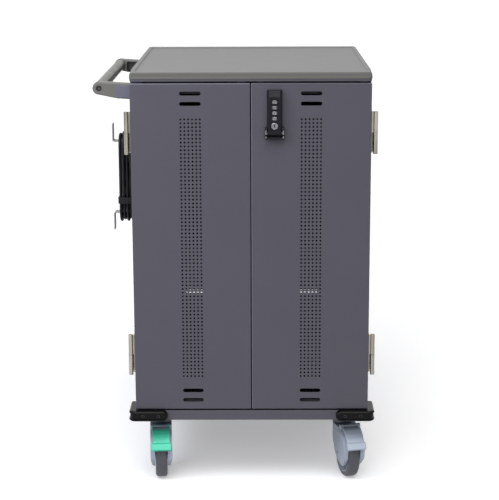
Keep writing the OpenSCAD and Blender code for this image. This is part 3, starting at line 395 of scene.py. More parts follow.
def shade(obj, angle=32):
    for face in obj.data.polygons:
        face.use_smooth = True
    obj.data.set_sharp_from_angle(angle=math.radians(angle))
    step = obj.modifiers.new("normals", "WEIGHTED_NORMAL")
    step.keep_sharp = True
    return obj


def arc(centre, radius, start, end, steps):
    """Points of an arc in two axes, with angles in degrees."""
    return [(centre[0] + radius * math.cos(math.radians(start + (end - start) * i / steps)),
             centre[1] + radius * math.sin(math.radians(start + (end - start) * i / steps)))
            for i in range(steps + 1)]


def moved(obj, matrix):
    obj.data.transform(matrix)
    obj.data.update()
    return obj


def refined(node, width, material, slot, segments, outer=0.0):
    """Piece that stands for a node: its own mesh with rounded edges. With outer, only edges at least that
    long that lie on two faces of the node's box are rounded."""
    source = frame["nodes"][node]
    obj = new_object(node + "_piece", source.data.copy())
    shape = bmesh.new()
    shape.from_mesh(obj.data)
    bmesh.ops.remove_doubles(shape, verts=shape.verts, dist=0.000005)
    bmesh.ops.dissolve_limit(shape, angle_limit=math.radians(0.6), verts=shape.verts, edges=shape.edges)
    if outer:
        low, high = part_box(node)
        layer = shape.edges.layers.float.new("bevel_weight_edge")
        for edge in shape.edges:
            a, b = edge.verts[0].co, edge.verts[1].co
            on = sum(1 for k in range(3) for face in (low[k], high[k])
                     if abs(a[k] - face) < NEAR and abs(b[k] - face) < NEAR)
            edge[layer] = 1.0 if on >= 2 and (a - b).length >= outer else 0.0
    shape.to_mesh(obj.data)
    shape.free()
    bevel(dress(obj, material), width, segments, weighted=bool(outer))
    return carry(shade(obj), source["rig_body"], slot, node)


def rounded(points, radius, steps=6):
    """Outline with its corners filleted. The radius is one for all corners, or a list of them."""
    corners = [Vector(p) for p in points]
    found = []
    for i, corner in enumerate(corners):
        size = radius[i] if isinstance(radius, list) else radius
        back, ahead = corners[i - 1] - corner, corners[(i + 1) % len(corners)] - corner
        half = back.angle(ahead) / 2
        if size <= 0 or half > math.radians(89):
            found.append(corner)
            continue
        reach = min(size / math.tan(half), 0.49 * back.length, 0.49 * ahead.length)
        start, end = corner + back.normalized() * reach, corner + ahead.normalized() * reach
        centre = corner + (back.normalized() + ahead.normalized()).normalized() * reach / math.cos(half)
        first = math.atan2(start.y - centre.y, start.x - centre.x)
        turn = (math.atan2(end.y - centre.y, end.x - centre.x) - first + math.pi) % (2 * math.pi) - math.pi
        r = (start - centre).length
        for k in range(steps + 1):
            angle = first + turn * k / steps
            found.append(centre + r * Vector((math.cos(angle), math.sin(angle))))
    return [(p.x, p.y) for p in found]


def rectangle(x0, y0, x1, y1):
    return [(x0, y0), (x1, y0), (x1, y1), (x0, y1)]


def skin(count, size, closed=False):
    """Faces between rings of points, of which there are count with size points each."""
    faces = []
    for i in range(count if closed else count - 1):
        n = (i + 1) % count
        faces += [(i * size + k, i * size + (k + 1) % size, n * size + (k + 1) % size, n * size + k)
                  for k in range(size)]
    return faces


def lathe(name, profile, segments, material, closed=False):
    """Piece turned round Z from a profile of radii and heights."""
    turns = [2 * math.pi * k / segments for k in range(segments)]
    vertices = [(r * math.cos(turn), r * math.sin(turn), z) for r, z in profile for turn in turns]
    return outward(mesh_object(name, vertices, skin(len(profile), segments, closed), material))


def loft(name, sections, material):
    """Solid through sections with as many points each."""
    size = len(sections[0])
    vertices = [point for section in sections for point in section]
    last = len(vertices) - size
    faces = skin(len(sections), size) + [tuple(range(size)), tuple(range(last, last + size))]
    return outward(mesh_object(name, vertices, faces, material))


def copy_of(obj, matrix):
    return moved(new_object("copy", obj.data.copy()), matrix)


def merged(name, *objects):
    """One object of several meshes, which may overlap."""
    shape = bmesh.new()
    materials = []
    for obj in objects:
        apply(obj)
        start = len(shape.faces)
        shape.from_mesh(obj.data)
        shape.faces.ensure_lookup_table()
        own = list(obj.data.materials)
        materials += [made for made in own if made not in materials]
        for face in shape.faces[start:]:
            face.material_index = materials.index(own[min(face.material_index, len(own) - 1)])
        bpy.data.objects.remove(obj)
    made = dress(new_object(name, bpy.data.meshes.new(name)), *materials)
    shape.to_mesh(made.data)
    shape.free()
    return made


# Cabinet of folded sheet

FOLD_R = 2.0 * MM
FOLD_L = 20.0 * MM
for node_name in ("side_left", "side_right", "base_tray", "left_door", "right_door", "rear_door"):
    refined(node_name, FOLD_R, PAINT, "cabinet_paint", 3, FOLD_L)


def pale_edges(name, *sides):
    """Painted highlight on a door's folded edges, in paler paint. Each side is an axis and a direction."""
    door = bpy.data.objects[name + "_piece"]
    low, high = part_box(name)
    door.data.materials.append(EDGE_HIGHLIGHT)
    for face in door.data.polygons:
        for axis, way in sides:
            edge = high[axis] if way > 0 else low[axis]
            if abs(face.center[axis] - edge) < 1.8 * MM and face.normal[axis] * way > 0.35:
                face.material_index = 1


# Painted highlight on the doors' top folds and the right door's left fold
pale_edges("left_door", (2, 1))
pale_edges("right_door", (2, 1), (0, -1))
# Inner shelves, partition and dividers in the darker inner paint, painted shade inside the cabinet
for node_name in ("shelf_upper", "adapter_shelf"):
    refined(node_name, FOLD_R, INSIDE_SHADE, "inner_paint", 3, FOLD_L)
for node_name in ("partition", "dividers_lower", "dividers_upper"):
    dress(frame["nodes"][node_name], INSIDE_SHADE)
dress(frame["nodes"]["header_rails"], PAINT)

# Parts given to piece are drawn in millimetres. CART takes millimetres from the middle of the door faces'
# foot to the frame's metres.

CART = Matrix.Translation((MID_X, FRONT_Y, 0)) @ Matrix.Scale(MM, 4)


def turned(degrees, axis):
    return Matrix.Rotation(math.radians(degrees), 4, axis)


def shifted(x, y, z):
    return Matrix.Translation((x, y, z))


def mirrored(axis):
    return Matrix.Scale(-1, 4, axis)


def piece(node, slot, *parts, body="cabinet", place=None, angle=32):
    """Joins parts drawn in millimetres to the piece that stands for a node, and puts it where it belongs."""
    obj = moved(merged(node + "_piece", *parts), CART @ place if place else CART)
    if place and place.determinant() < 0:
        outward(obj)
    return carry(shade(obj, angle), body, slot, node)


BODY_W = 610.0
BODY_D = 720.0
HALF_W = BODY_W / 2
LID_Z = 1076.0
SHEET = 1.5

# Lid: its deck falls off to the front, and a low rim runs along its other three sides

LID_DECK = 20.0
LID_OVER = 1.0
RIM_H = 4.0
RIM_W = 12.0
FALL_L = 32.0
FALL_H = 14.0
CAVITY_Y = 80.0
CORNER_R = 10.0
EDGE_R = 3.0
BAND_H = 6.0
BAND_IN = 0.8
BAND_STEP = 0.6
LID_GRID = RIM_W + 2
LID_SKIN = 4.0
COLUMNS = 24
ROWS = 16


def ease(value):
    value = min(1.0, max(0.0, value))
    return value * value * (3 - 2 * value)


def deck_height(y):
    fall = max(0.0, (FALL_L - y) / (FALL_L + LID_OVER))
    return LID_Z + LID_DECK - FALL_H * (1 - math.sqrt(max(0.0, 1 - 0.96 * fall ** 2)))


def rim_height(y):
    return RIM_H * ease((y - 30) / 50)


def make_lid():
    x0, x1, y0, y1 = -HALF_W - LID_OVER, HALF_W + LID_OVER, -LID_OVER, BODY_D + LID_OVER
    across = [x0 + LID_GRID + (x1 - x0 - 2 * LID_GRID) * i / COLUMNS for i in range(COLUMNS + 1)]
    along = [y0 + LID_GRID + 2.5 * i for i in range(17)] + [y0 + LID_GRID + 40 + 8 * i for i in range(1, 8)]
    along += [along[-1] + (y1 - LID_GRID - along[-1]) * i / ROWS for i in range(1, ROWS + 1)]

    def ring(inset, height):
        r = max(0.0, CORNER_R - inset)
        corners = [((x1 - inset - r, y0 + inset + r), -90), ((x1 - inset - r, y1 - inset - r), 0),
                   ((x0 + inset + r, y1 - inset - r), 90), ((x0 + inset + r, y0 + inset + r), 180)]
        sides = [[(x, y0 + inset) for x in across], [(x1 - inset, y) for y in along],
                 [(x, y1 - inset) for x in reversed(across)], [(x0 + inset, y) for y in reversed(along)]]
        points = []
        for side, (centre, start) in zip(sides, corners):
            points += side + arc(centre, r, start, start + 90, 6)
        return [(x, y, height(y)) for x, y in points]

    # The front of the deck's fall takes the darker lid finish, painted shade where the deck bends down
    def front_ink(y):
        return 2 if y < FALL_L * 0.72 else 0

    def crest(y):
        return deck_height(y) + rim_height(y)

    levels = [(BAND_IN, lambda y: LID_Z), (BAND_IN, lambda y: LID_Z + BAND_H - BAND_STEP),
              (0, lambda y: LID_Z + BAND_H), (0, lambda y: crest(y) - EDGE_R)]
    levels += [(EDGE_R * (1 - math.cos(a)), lambda y, a=a: crest(y) - EDGE_R * (1 - math.sin(a)))
               for a in (math.radians(18 * k) for k in range(1, 6))]
    levels += [(RIM_W - 2.5, crest), (RIM_W - 1, lambda y: crest(y) - rim_height(y) * 0.15),
               (RIM_W + 0.4, lambda y: deck_height(y) + rim_height(y) * 0.12), (LID_GRID, deck_height)]
    rings = [ring(inset, height) for inset, height in levels]
    size = len(rings[0])
    vertices = [p for one in rings for p in one]
    faces = skin(len(rings), size)
    face_materials = [1 if i < 2 else front_ink(y) for i in range(len(rings) - 1) for _, y, _ in rings[i]]
    start = len(vertices)
    vertices += [(x, y, deck_height(y)) for y in along for x in across]
    for j, y in enumerate(along[:-1]):
        for i in range(COLUMNS):
            a = start + j * len(across) + i
            faces.append((a, a + 1, a + 1 + len(across), a + len(across)))
            face_materials.append(front_ink(y))
    faces.append(tuple(range(size)))
    face_materials.append(1)
    lid = mesh_object("lid", vertices, faces, LID, PAINT, LID_FALL_SHADE)
    lid.data.polygons.foreach_set("material_index", face_materials)
    hollow = rectangle(-HALF_W + SHEET, CAVITY_Y, HALF_W - SHEET, BODY_D - 22)
    cavity = prism("cavity", hollow, "z", LID_Z - 5, LID_Z + LID_DECK - LID_SKIN, PAINT)
    piece("lid", "lid_plastic", cut(outward(lid), cavity), angle=30)


make_lid()

# Bolts: radius and height of the head, radius and length of the shank, radius of the socket, finish

ARM_BOLT = (6.3, 4, 4, 50, 3.4, DARK_STEEL)
ARM_SCREW = (4.5, 3, 2.5, 8, 2.2, STEEL)
HOOK_SCREW = (4.5, 3, 2.5, 6, 2.2, STEEL)
BUMPER_BOLT = (5.0, 3, 2.5, 13, 2.6, DARK_STEEL)


def hex_bolt(head_r, head_t, shank_r, length, socket_r, material):
    """Socket bolt along +Y whose head's face is at the origin."""
    edge = min(1.0, head_t / 3)
    body = lathe("bolt", [(0, 0), (head_r - edge, 0), (head_r - edge * 0.3, edge * 0.3), (head_r, edge),
                          (head_r, head_t), (shank_r, head_t), (shank_r, length), (0, length)], 28, material)
    hexagon = prism("socket", arc((0, 0), socket_r, 0, 300, 5), "z", -1, head_t * 0.7, material)
    return moved(cut(body, hexagon), turned(-90, "X"))


def bolts_piece(node, bolts):
    """Piece of several bolts, each given as a kind and its place."""
    drawn = {kind: hex_bolt(*kind) for kind in dict.fromkeys(kind for kind, _ in bolts)}
    copies = [outward(copy_of(drawn[kind], place)) for kind, place in bolts]
    for original in drawn.values():
        bpy.data.objects.remove(original)
    piece(node, "dark_steel", *copies)


# Push handle

ARM_X = -386.5
ARM_Z = 1054.0
ARM_R = 16.5
ARM_TOP = 1065.0
ARM_LOW = 1026.0
ARM_T = 30.0
ARM_MARGIN = 45.0
ARM_WALL = 3.5
PAD_L = 42.0
PAD_T = 1.5
ARM_ENDS = {"front": shifted(0, ARM_MARGIN, 0), "rear": shifted(0, BODY_D - ARM_MARGIN, 0) @ mirrored(Y)}
ARM_SCREW_Z = (1035.75, 1055.25)
BOLT_BORE_R = 7.4
BOLT_SINK = 1.4
BAR_R = 15.0
BAR_L = BODY_D - 2 * (ARM_MARGIN + ARM_T)


def make_arm(end):
    root, tip = -HALF_W - 0.3, -HALF_W - PAD_L
    outline = ([(root, ARM_LOW), (root, ARM_TOP)] + arc((ARM_X, ARM_Z), ARM_R, 90, 270, 20)
               + [(tip - 6, ARM_LOW + 4.5), (tip + 8, ARM_LOW + 2)])
    arm = bevel(prism("arm", outline, "y", 0, ARM_T, HANDLE, HANDLE_PAD), 3.2, 4)
    flank = rounded([(tip + 3, ARM_LOW + 4), (-HALF_W + 2, ARM_LOW + 3), (-HALF_W + 2, ARM_TOP - 3.5),
                     (tip + 3, ARM_TOP - 4)], [9, 0, 0, 9])
    pad = bevel(prism("pad", flank, "y", -PAD_T, 4, HANDLE_PAD), 1.2, 3)
    x1 = ARM_X + ARM_R + ARM_WALL
    hollow = rounded([(root - ARM_WALL, ARM_LOW + ARM_WALL), (root - ARM_WALL, ARM_TOP - ARM_WALL),
                      (x1, ARM_TOP - ARM_WALL + PAD_T), (x1, ARM_LOW + 2.6 * ARM_WALL)], 4)
    pocket = prism("pocket", hollow, "y", ARM_WALL, ARM_T + 2, HANDLE)
    cut(arm, pocket, cylinder("bore", (ARM_X, 1, ARM_Z), Y, BOLT_BORE_R, 6, HANDLE))
    beyond = rectangle(-HALF_W, ARM_LOW - 9, -HALF_W + 9, ARM_TOP + 9)
    cut(pad, prism("trim", beyond, "y", -9, ARM_T + 9, HANDLE))
    web = rectangle(ARM_X + ARM_R + 28, ARM_LOW + 5, ARM_X + ARM_R + 30.5, ARM_TOP - 2)
    rib = prism("rib", web, "y", 2, 16, HANDLE)
    piece("handle_arm_" + end, "handle_alloy", arm, pad, rib, place=ARM_ENDS[end])


def make_bar():
    r = BAR_R - 0.8
    bar = lathe("bar", [(0, 0), (r, 0), (r, 1), (BAR_R, 1.6), (BAR_R, BAR_L - 1.6), (r, BAR_L - 1),
                        (r, BAR_L), (0, BAR_L)], 64, HANDLE)
    place = shifted(ARM_X, ARM_MARGIN + ARM_T + BAR_L, ARM_Z) @ turned(90, "X")
    piece("handle_bar", "handle_alloy", bar, place=place)


def make_handle_bolts():
    bolts = []
    for place in ARM_ENDS.values():
        bolts.append((ARM_BOLT, place @ shifted(ARM_X, BOLT_SINK, ARM_Z)))
        bolts += [(ARM_SCREW, place @ shifted(-HALF_W + SHEET + 3, ARM_T / 2, z) @ turned(90, "Z"))
                  for z in ARM_SCREW_Z]
    bolts_piece("handle_bolts", bolts)


make_arm("front")
make_arm("rear")
make_bar()
make_handle_bolts()

# Cord hooks: bent strips

HOOK_T = 3.0
HOOK_REACH = 78.0
HOOK_TIP = 50.0
HOOK_FLANGE = 40.0
SCREW_DROP = 23.0


def make_hook(node, place):
    wall, tip = -HALF_W, -HALF_W - HOOK_REACH
    outline = rounded([(wall, -HOOK_FLANGE), (wall, 0), (tip + HOOK_T, 0), (tip + HOOK_T, HOOK_TIP - HOOK_T),
                       (tip, HOOK_TIP - HOOK_T), (tip, -HOOK_T), (wall - HOOK_T, -HOOK_T),
                       (wall - HOOK_T, -HOOK_FLANGE)], [0, 4.6, 3, 0, 0, 6, 3, 0])
    strip = bevel(prism("strip", outline, "y", -HOOK_W / 2, HOOK_W / 2, HOOK), 0.5)
    piece(node, "hook_steel", strip, place=place)


make_hook("hook_upper", shifted(0, HOOK_Y, HOOK_TOP))
make_hook("hook_lower", shifted(0, HOOK_Y, HOOK_LOW) @ mirrored(Z))
SCREW_X = -HALF_W - HOOK_T - 3
bolts_piece("hook_screws", [(HOOK_SCREW, shifted(SCREW_X, HOOK_Y + s * HOOK_W / 4, z) @ turned(-90, "Z"))
                            for s in (-1, 1) for z in (HOOK_TOP - SCREW_DROP, HOOK_LOW + SCREW_DROP)])

# Corner bumpers: a rubber strip with round ends and a sunk face, bent round the tray's corner

BUMPER_L = 102.0
BUMPER_H = 28.0
BUMPER_T = 18.0
BUMPER_Z = 197.5
BEND_R = 17.0
BOLT_SHARES = (0.36, 0.76)
BUMPER_MARGIN = 4.8
BUMPER_SINK = 2.4
BUMPER_X, BUMPER_Y = -HALF_W - BUMPER_T, -BUMPER_T
END_L = 14.0
END_GRID = 20.0
BOLT_IN = 2.6


def half_height(half, from_end):
    """Half height of a strip with round ends, at a distance from its end."""
    return math.sqrt(max(0.0, half ** 2 - max(0.0, half - from_end) ** 2)) if from_end > 0 else 0.0


def bumper_section(from_end, point, inner):
    """Section of a bumper at a distance from its end, measured along the outer face."""
    height = half_height(BUMPER_H / 2, from_end)
    sunk = half_height(BUMPER_H / 2 - BUMPER_MARGIN, from_end - BUMPER_MARGIN)
    depth = BUMPER_SINK * min(1.0, sunk / 4)
    r = min(5.5, height * 0.6)
    lip = max(0.0, min(1.4, (height - r - sunk) * 0.8))
    side = [(inner, -height)] + arc((r, r - height), r, 270, 180, 5)
    side += [(0.0, -sunk - lip), (depth * 0.5, -sunk - lip * 0.35), (depth, -sunk * 0.96)]
    return [point(n, z + BUMPER_Z) for n, z in side + [(n, -z) for n, z in reversed(side)]]


def make_bumper():
    """Bumper of the front left corner."""
    straight = BUMPER_L - BEND_R
    ends = [END_L * (1 - math.cos(math.radians(a))) for a in range(6, 91, 6)]
    ends += [END_GRID + (straight - END_GRID) * i / 6 for i in range(7)]
    inner = BUMPER_T - 0.2
    sections = [bumper_section(s, lambda n, z, s=s: (BUMPER_X + BUMPER_L - s, BUMPER_Y + n, z), inner)
                for s in ends]
    x0, y0 = BUMPER_X + BEND_R, BUMPER_Y + BEND_R
    for i in range(1, 10):
        a = math.radians(270 - 9 * i)
        sections.append(bumper_section(straight, lambda n, z, a=a: (
            x0 + (BEND_R - n) * math.cos(a), y0 + (BEND_R - n) * math.sin(a), z), BEND_R * 0.98))
    sections += [bumper_section(s, lambda n, z, s=s: (BUMPER_X + n, BUMPER_Y + BUMPER_L - s, z), inner)
                 for s in reversed(ends)]
    holes = []
    for share in BOLT_SHARES:
        for x, y, axis in ((share * BUMPER_L, 0, Y), (0, share * BUMPER_L, X)):
            centre = (BUMPER_X + x, BUMPER_Y + y, BUMPER_Z)
            holes.append(cylinder("hole", centre, axis, 6.4, 9, RUBBER, segments=28))
    return cut(loft("bumper", sections, RUBBER), *holes)


CORNERS = [Matrix.Identity(4), mirrored(X), shifted(0, BODY_D, 0) @ mirrored(Y),
           shifted(0, BODY_D, 0) @ mirrored(Y) @ mirrored(X)]


def make_bumpers():
    bumper = make_bumper()
    copies = [outward(copy_of(bumper, corner)) for corner in CORNERS]
    piece("corner_bumpers", "bumper_rubber", *copies, angle=40)
    bpy.data.objects.remove(bumper)
    bolts = []
    for corner in CORNERS:
        for share in BOLT_SHARES:
            along = share * BUMPER_L
            bolts.append((BUMPER_BOLT, corner @ shifted(BUMPER_X + along, BUMPER_Y + BOLT_IN, BUMPER_Z)))
            bolts.append((BUMPER_BOLT, corner @ shifted(BUMPER_X + BOLT_IN, BUMPER_Y + along, BUMPER_Z)
                          @ turned(-90, "Z")))
    bolts_piece("bumper_bolts", bolts)


make_bumpers()

# Casters, drawn from the kingpin's axis on the floor and trailing towards -Y

KING_X = 248.0
KING_FRONT = 118.0
KING_REAR = 602.0
TRAIL = 40.0
WHEEL_R = 62.5
WHEEL_W = 32.0
SHOULDER = 8.0
FORK_W = 58.0
FORK_TOP = 139.0
NECK_R = 28.5
TRAY_UNDER = 207.5
CASTERS = {"front_left": (-KING_X, KING_FRONT, 4), "front_right": (KING_X, KING_FRONT, 15),
           "rear_left": (-KING_X, KING_REAR, 0), "rear_right": (KING_X, KING_REAR, 0)}
WHEEL_PLACE = shifted(0, -TRAIL, WHEEL_R) @ turned(90, "Y")
PEDAL_R = 78.0
PEDAL_PIN = arc((-TRAIL, WHEEL_R), PEDAL_R + 5, 100, 100, 1)[0]
PEDAL_HALF = 22.8
PEDAL_ARM_X = 20.6
PEDAL_ARM_HALF = 2.2
LUG_X = 26.2
LUG_HALF = 2.8
MOUNT_HALF = 39.0
NUT_X = 29.5


def caster_place(name):
    x, y, turn = CASTERS[name]
    return shifted(x, y, 0) @ turned(turn, "Z")


def make_fork(name, brake):
    half = FORK_W / 2
    outline = rounded([(NECK_R, FORK_TOP), (NECK_R, FORK_TOP - 20), (-8, 78.5), (-20, 46.5), (-32, 34),
                       (-54, 31), (-76, 40), (-95, 62), (-98.5, 84), (-94, 106), (-78, 126), (-58, 139)],
                      [0, 14, 24, 12, 12, 12, 16, 18, 16, 16, 16, 22], steps=5)
    body = prism("fork", outline, "x", -half, half, HOUSING)
    plan = prism("plan", [(half, -120), (half, 0)] + arc((0, 0), half, 4, 176, 22)
                 + [(-half, 0), (-half, -120)], "z", 20, 160, HOUSING)
    front = prism("front", [(-half, 160), (half, 160), (half, 64), (half - 3.5, 46), (half - 9.5, 30),
                            (9.5 - half, 30), (3.5 - half, 46), (-half, 64)], "y", -130, 60, HOUSING)
    bevel(combine(body, [plan, front], "INTERSECT"), 4.5, 4, 42)
    well = lathe("well", [(0, -17), (64, -17), (66.5, -15), (66.5, 15), (64, 17), (0, 17)], 72, HOUSING)
    parts = [cut(body, moved(well, WHEEL_PLACE))]
    disc = [(0, 0), (13, 0), (13, 1.0), (12, 1.8), (8.4, 1.8), (8, 1.2), (0, 1.2)]
    flat = [(0, 0), (6.4, 0), (6.4, 1.2), (5.6, 2.0), (0, 2.0)]
    for s in (-1, 1):
        for profile, segments, material, sunk in ((disc, 36, HOUSING, 1.2), (flat, 6, STEEL, 2.2)):
            cap = lathe("cap", profile, segments, material)
            parts.append(moved(cap, shifted(s * (half - sunk), -TRAIL, WHEEL_R) @ turned(s * 90, "Y")))
    parts.append(cylinder("axle", (0, -TRAIL, WHEEL_R), X, 6, FORK_W - 4, STEEL, segments=32))
    if brake:
        y, z = PEDAL_PIN
        ear = [(y - 9, FORK_TOP - 12), (y + 9, FORK_TOP - 12)] + arc((y, z), 5, 10, 170, 12)
        for s in (-1, 1):
            lug = prism("lug", ear, "x", s * LUG_X - LUG_HALF, s * LUG_X + LUG_HALF, HOUSING)
            parts.append(bevel(lug, 1.0))
        parts.append(cylinder("pin", (0, y, z), X, 2.5, FORK_W - 0.6, HOUSING, segments=24))
    node = "fork_" + name
    piece(node, "caster_plastic", *parts, body=node, place=caster_place(name), angle=34)


def make_wheel(name):
    w = WHEEL_W / 2
    rim = WHEEL_R - 12.5
    inner = WHEEL_R - SHOULDER
    tyre = ([(rim, -w), (inner, -w)] + arc((inner, SHOULDER - w), SHOULDER, -80, 0, 8)
            + [(WHEEL_R, -0.6), (WHEEL_R - 0.35, 0), (WHEEL_R, 0.6)]
            + arc((inner, w - SHOULDER), SHOULDER, 0, 80, 8) + [(inner, w), (rim, w)])
    face = [(6.1, -16.6), (15, -16.6), (16, -15.6), (17.5, -5), (44.5, -5), (46.5, -14.6), (47.2, -15.5),
            (rim, -15.5)]
    disc = lathe("disc", face + [(r, -x) for r, x in reversed(face)], 72, RIM, closed=True)
    parts = [lathe("tread", tyre, 96, TREAD, closed=True), disc]
    for k in range(10):
        rib = prism("rib", [(14, -12), (46.5, -9.5), (46.5, 9.5), (14, 12)], "y", -1.4, 1.4, RIM)
        parts.append(moved(bevel(rib, 0.6, 1), turned(36 * k, "Z")))
    node = "wheel_" + name
    piece(node, "tread", *parts, body=node, place=caster_place(name) @ WHEEL_PLACE, angle=40)


def make_pedal(side, material, slot):
    def sweep(r, start, end, steps):
        return arc((-TRAIL, WHEEL_R), PEDAL_R + r, start, end, steps)

    def band(name, low, high, start, end, steps, from_x, to_x):
        outline = sweep(high, start, end, steps) + sweep(low, end, start, steps)
        return prism(name, outline, "x", from_x, to_x, material)

    parts = [bevel(band("upper", 0.3, 7.4, 112, 144, 12, -PEDAL_HALF, PEDAL_HALF), 1.8, 3)]
    outline = sweep(8.2, 141.5, 143, 1) + sweep(12.6, 145, 155.5, 6) + sweep(0.3, 157, 141.5, 8)
    parts.append(bevel(prism("lip", outline, "x", -26, 26, material), 2.2, 4, 40))
    for s in (-1, 1):
        x = s * PEDAL_ARM_X
        parts.append(bevel(band("arm", 0.6, 6.4, 101, 114, 5, x - PEDAL_ARM_HALF, x + PEDAL_ARM_HALF), 0.8))
        barrel = lathe("barrel", [(2.6, -2.2), (4.4, -2.2), (5, -1.6), (5, 1.6), (4.4, 2.2), (2.6, 2.2)], 32,
                       material, closed=True)
        parts.append(moved(barrel, shifted(x, *PEDAL_PIN) @ turned(90, "Y")))
    for k in range(3):
        angle = 117 + 8 * k
        parts.append(bevel(band("ridge", 5, 8.1, angle, angle + 2.2, 2, -17, 17), 0.5))
    node = "pedal_" + side
    piece(node, slot, *parts, body=node, place=caster_place("front_" + side), angle=34)


def make_mounts():
    mounts = []
    for x, y, _ in CASTERS.values():
        neck = lathe("neck", [(0, 129), (8, 129), (8, 139.6), (26.5, 139.6), (28, 141), (28.4, 143),
                              (28.4, 151), (27.6, 152.2), (25.5, 152.6), (25.5, 156.4), (27.6, 156.8),
                              (28.4, 158), (28.4, 203.4), (0, 203.4)], 64, NECK)
        square = rounded(rectangle(-MOUNT_HALF, -MOUNT_HALF, MOUNT_HALF, MOUNT_HALF), 8)
        plate = bevel(prism("plate", square, "z", 203.6, TRAY_UNDER - 0.1, NECK), 0.8)
        nuts = []
        for sx in (-1, 1):
            for sy in (-1, 1):
                nut = lathe("nut", [(0, 0), (5.4, 0), (6.2, 0.9), (6.2, 4.6), (0, 4.6)], 6, STEEL)
                nuts.append(moved(nut, shifted(sx * NUT_X, sy * NUT_X, 199)))
        mounts.append(moved(merged("mount", neck, plate, *nuts), shifted(x, y, 0)))
    piece("caster_mounts", "caster_plastic", *mounts, angle=34)


for caster in CASTERS:
    make_fork(caster, caster.startswith("front"))
    make_wheel(caster)
make_pedal("left", GREEN, "pedal_green")
make_pedal("right", GREY, "pedal_grey")
make_mounts()

# Hinges, rear lock, the front lock's cam, pin and axle, buffers, timer and outlet strips keep their nodes'
# shapes, with rounded edges

for node_name, width, material, slot_name, segments in (
        ("frame_leaves", 0.7, NICKEL, "nickel", 3), ("left_door_leaves", 0.7, NICKEL, "nickel", 3),
        ("right_door_leaves", 0.7, NICKEL, "nickel", 3), ("rear_door_leaves", 0.7, NICKEL, "nickel", 3),
        ("hinge_pins", 1.2, NICKEL, "nickel", 3), ("rear_lock", 0.6, STEEL, "nickel", 2),
        ("lock_cam", 0.4, STEEL, "nickel", 2), ("lever_pin", 0.5, STEEL, "nickel", 2),
        ("dial_axle", 0.2, STEEL, "nickel", 2), ("door_buffers", 1.2, BUFFER, "bumper_rubber", 3),
        ("charge_timer", 2.5, TIMER, "timer_plastic", 3), ("power_strips", 0.5, STRIP, "strip_plastic", 2)):
    refined(node_name, width * MM, material, slot_name, segments)

# Lock, drawn from the spindle's axis in the right door's face

LOCK_X = 60.0
LOCK_Z = 946.0
LOCK_OUT = 22.0
HUB_UP = 15.0
PLATE_T = 3.0
WEB_T = 3.0
LOCK_GAP = 0.4
EAR_X = 21.85
EAR_HALF = 2.75
EAR_SLOT_HALF = 1.9
EAR_PIN_R = 1.7
EAR_PINS = ((-12.2, -6.8), (-2.8, 8.2))
NOSE_T = 6.0
LEVER_HALF = 18.5
LEVER_TOP = 108.0
FACET_L = 16.0
FACET_T = 10.0
RECESS_W = 24.0
RECESS_T = 1.5
RECESS_TOP = 93.5
LEVER_PIN_Y = -13.508
LEVER_BORE_R = 2.6
LEVER_STEP = 15.8
ACROSS = 60.0
DIAL_R = 8.0
DIAL_PITCH = 13.8
DIAL_T = 9.66
DIAL_TOP = 79.7
DIAL_Y = -15.5
KEY_Z = 19.0
KEY_R = 8.5
LOCK_PLACE = shifted(LOCK_X, 0, LOCK_Z)


def make_plate():
    outline = rounded([(-19.5, -15), (19.5, -15), (19.5, 109), (-19.5, 109)], 3.5)
    plate = bevel(prism("plate", outline, "y", -PLATE_T, 0, LOCK_BLACK), 0.9, 3)
    joined(plate, cylinder("boss", (0, 9, 0), Y, 11, 20, LOCK_BLACK))
    cut(plate, cylinder("bore", (0, 5, 0), Y, 6.1, ACROSS, LOCK_BLACK))
    piece("lock_plate", "black_plastic", plate, body="right_door", place=LOCK_PLACE)


def make_hub():
    back = -PLATE_T - LOCK_GAP
    front = 2 - LOCK_OUT
    half = EAR_X + EAR_HALF
    hub = prism("hub", rectangle(-half, -HUB_UP, half, HUB_UP), "y", back - WEB_T, back, LOCK_BLACK)
    nose = prism("nose", rectangle(front, -HUB_UP, back, NOSE_T - HUB_UP), "x", EAR_HALF - EAR_X,
                 EAR_X - EAR_HALF, LOCK_BLACK)
    outline = rounded(rectangle(front, -HUB_UP, back, HUB_UP), [3, 0, 0, 5])
    ears = [prism("ear", outline, "x", s * EAR_X - EAR_HALF, s * EAR_X + EAR_HALF, LOCK_BLACK)
            for s in (-1, 1)]
    joined(hub, nose, *ears, cylinder("spindle", (0, 10, 0), Y, 6, 33, LOCK_BLACK))
    bevel(hub, 0.8)
    cut(hub, cylinder("bore", (0, LEVER_PIN_Y, 0), X, LEVER_BORE_R, ACROSS, LOCK_BLACK))
    pins = []
    for s in (-1, 1):
        x, r = s * EAR_X, EAR_PIN_R
        slot = rounded(rectangle(x - EAR_SLOT_HALF, -12.6, x + EAR_SLOT_HALF, 8.6), EAR_SLOT_HALF)
        cut(hub, prism("slot", slot, "y", -LOCK_OUT, 3.6 - LOCK_OUT, LOCK_BLACK))
        for low, high in EAR_PINS:
            pin = lathe("pin", [(0, low), (r - 0.5, low), (r, low + 0.6), (r, high - 0.6), (r - 0.5, high),
                                (0, high)], 20, NICKEL)
            pins.append(moved(pin, shifted(x, 3.4 - LOCK_OUT, 0)))
    piece("lock_hub", "black_plastic", hub, *pins, body="lock_hub", place=LOCK_PLACE)


def weigh_facets(lever):
    """Marks the lever's long front edges for its wide bevel."""
    shape = bmesh.new()
    shape.from_mesh(lever.data)
    layer = shape.edges.layers.float.new("bevel_weight_edge")
    for edge in shape.edges:
        a, b = edge.verts[0].co, edge.verts[1].co
        on_flank = abs(abs(a.x) - LEVER_HALF) < 0.01 and abs(a.x - b.x) < 0.01
        in_front = max(a.y, b.y) < FACET_T - LOCK_OUT + 0.01
        if on_flank and in_front and abs(a.z - b.z) > 5:
            edge[layer] = 1.0
    shape.to_mesh(lever.data)
    shape.free()


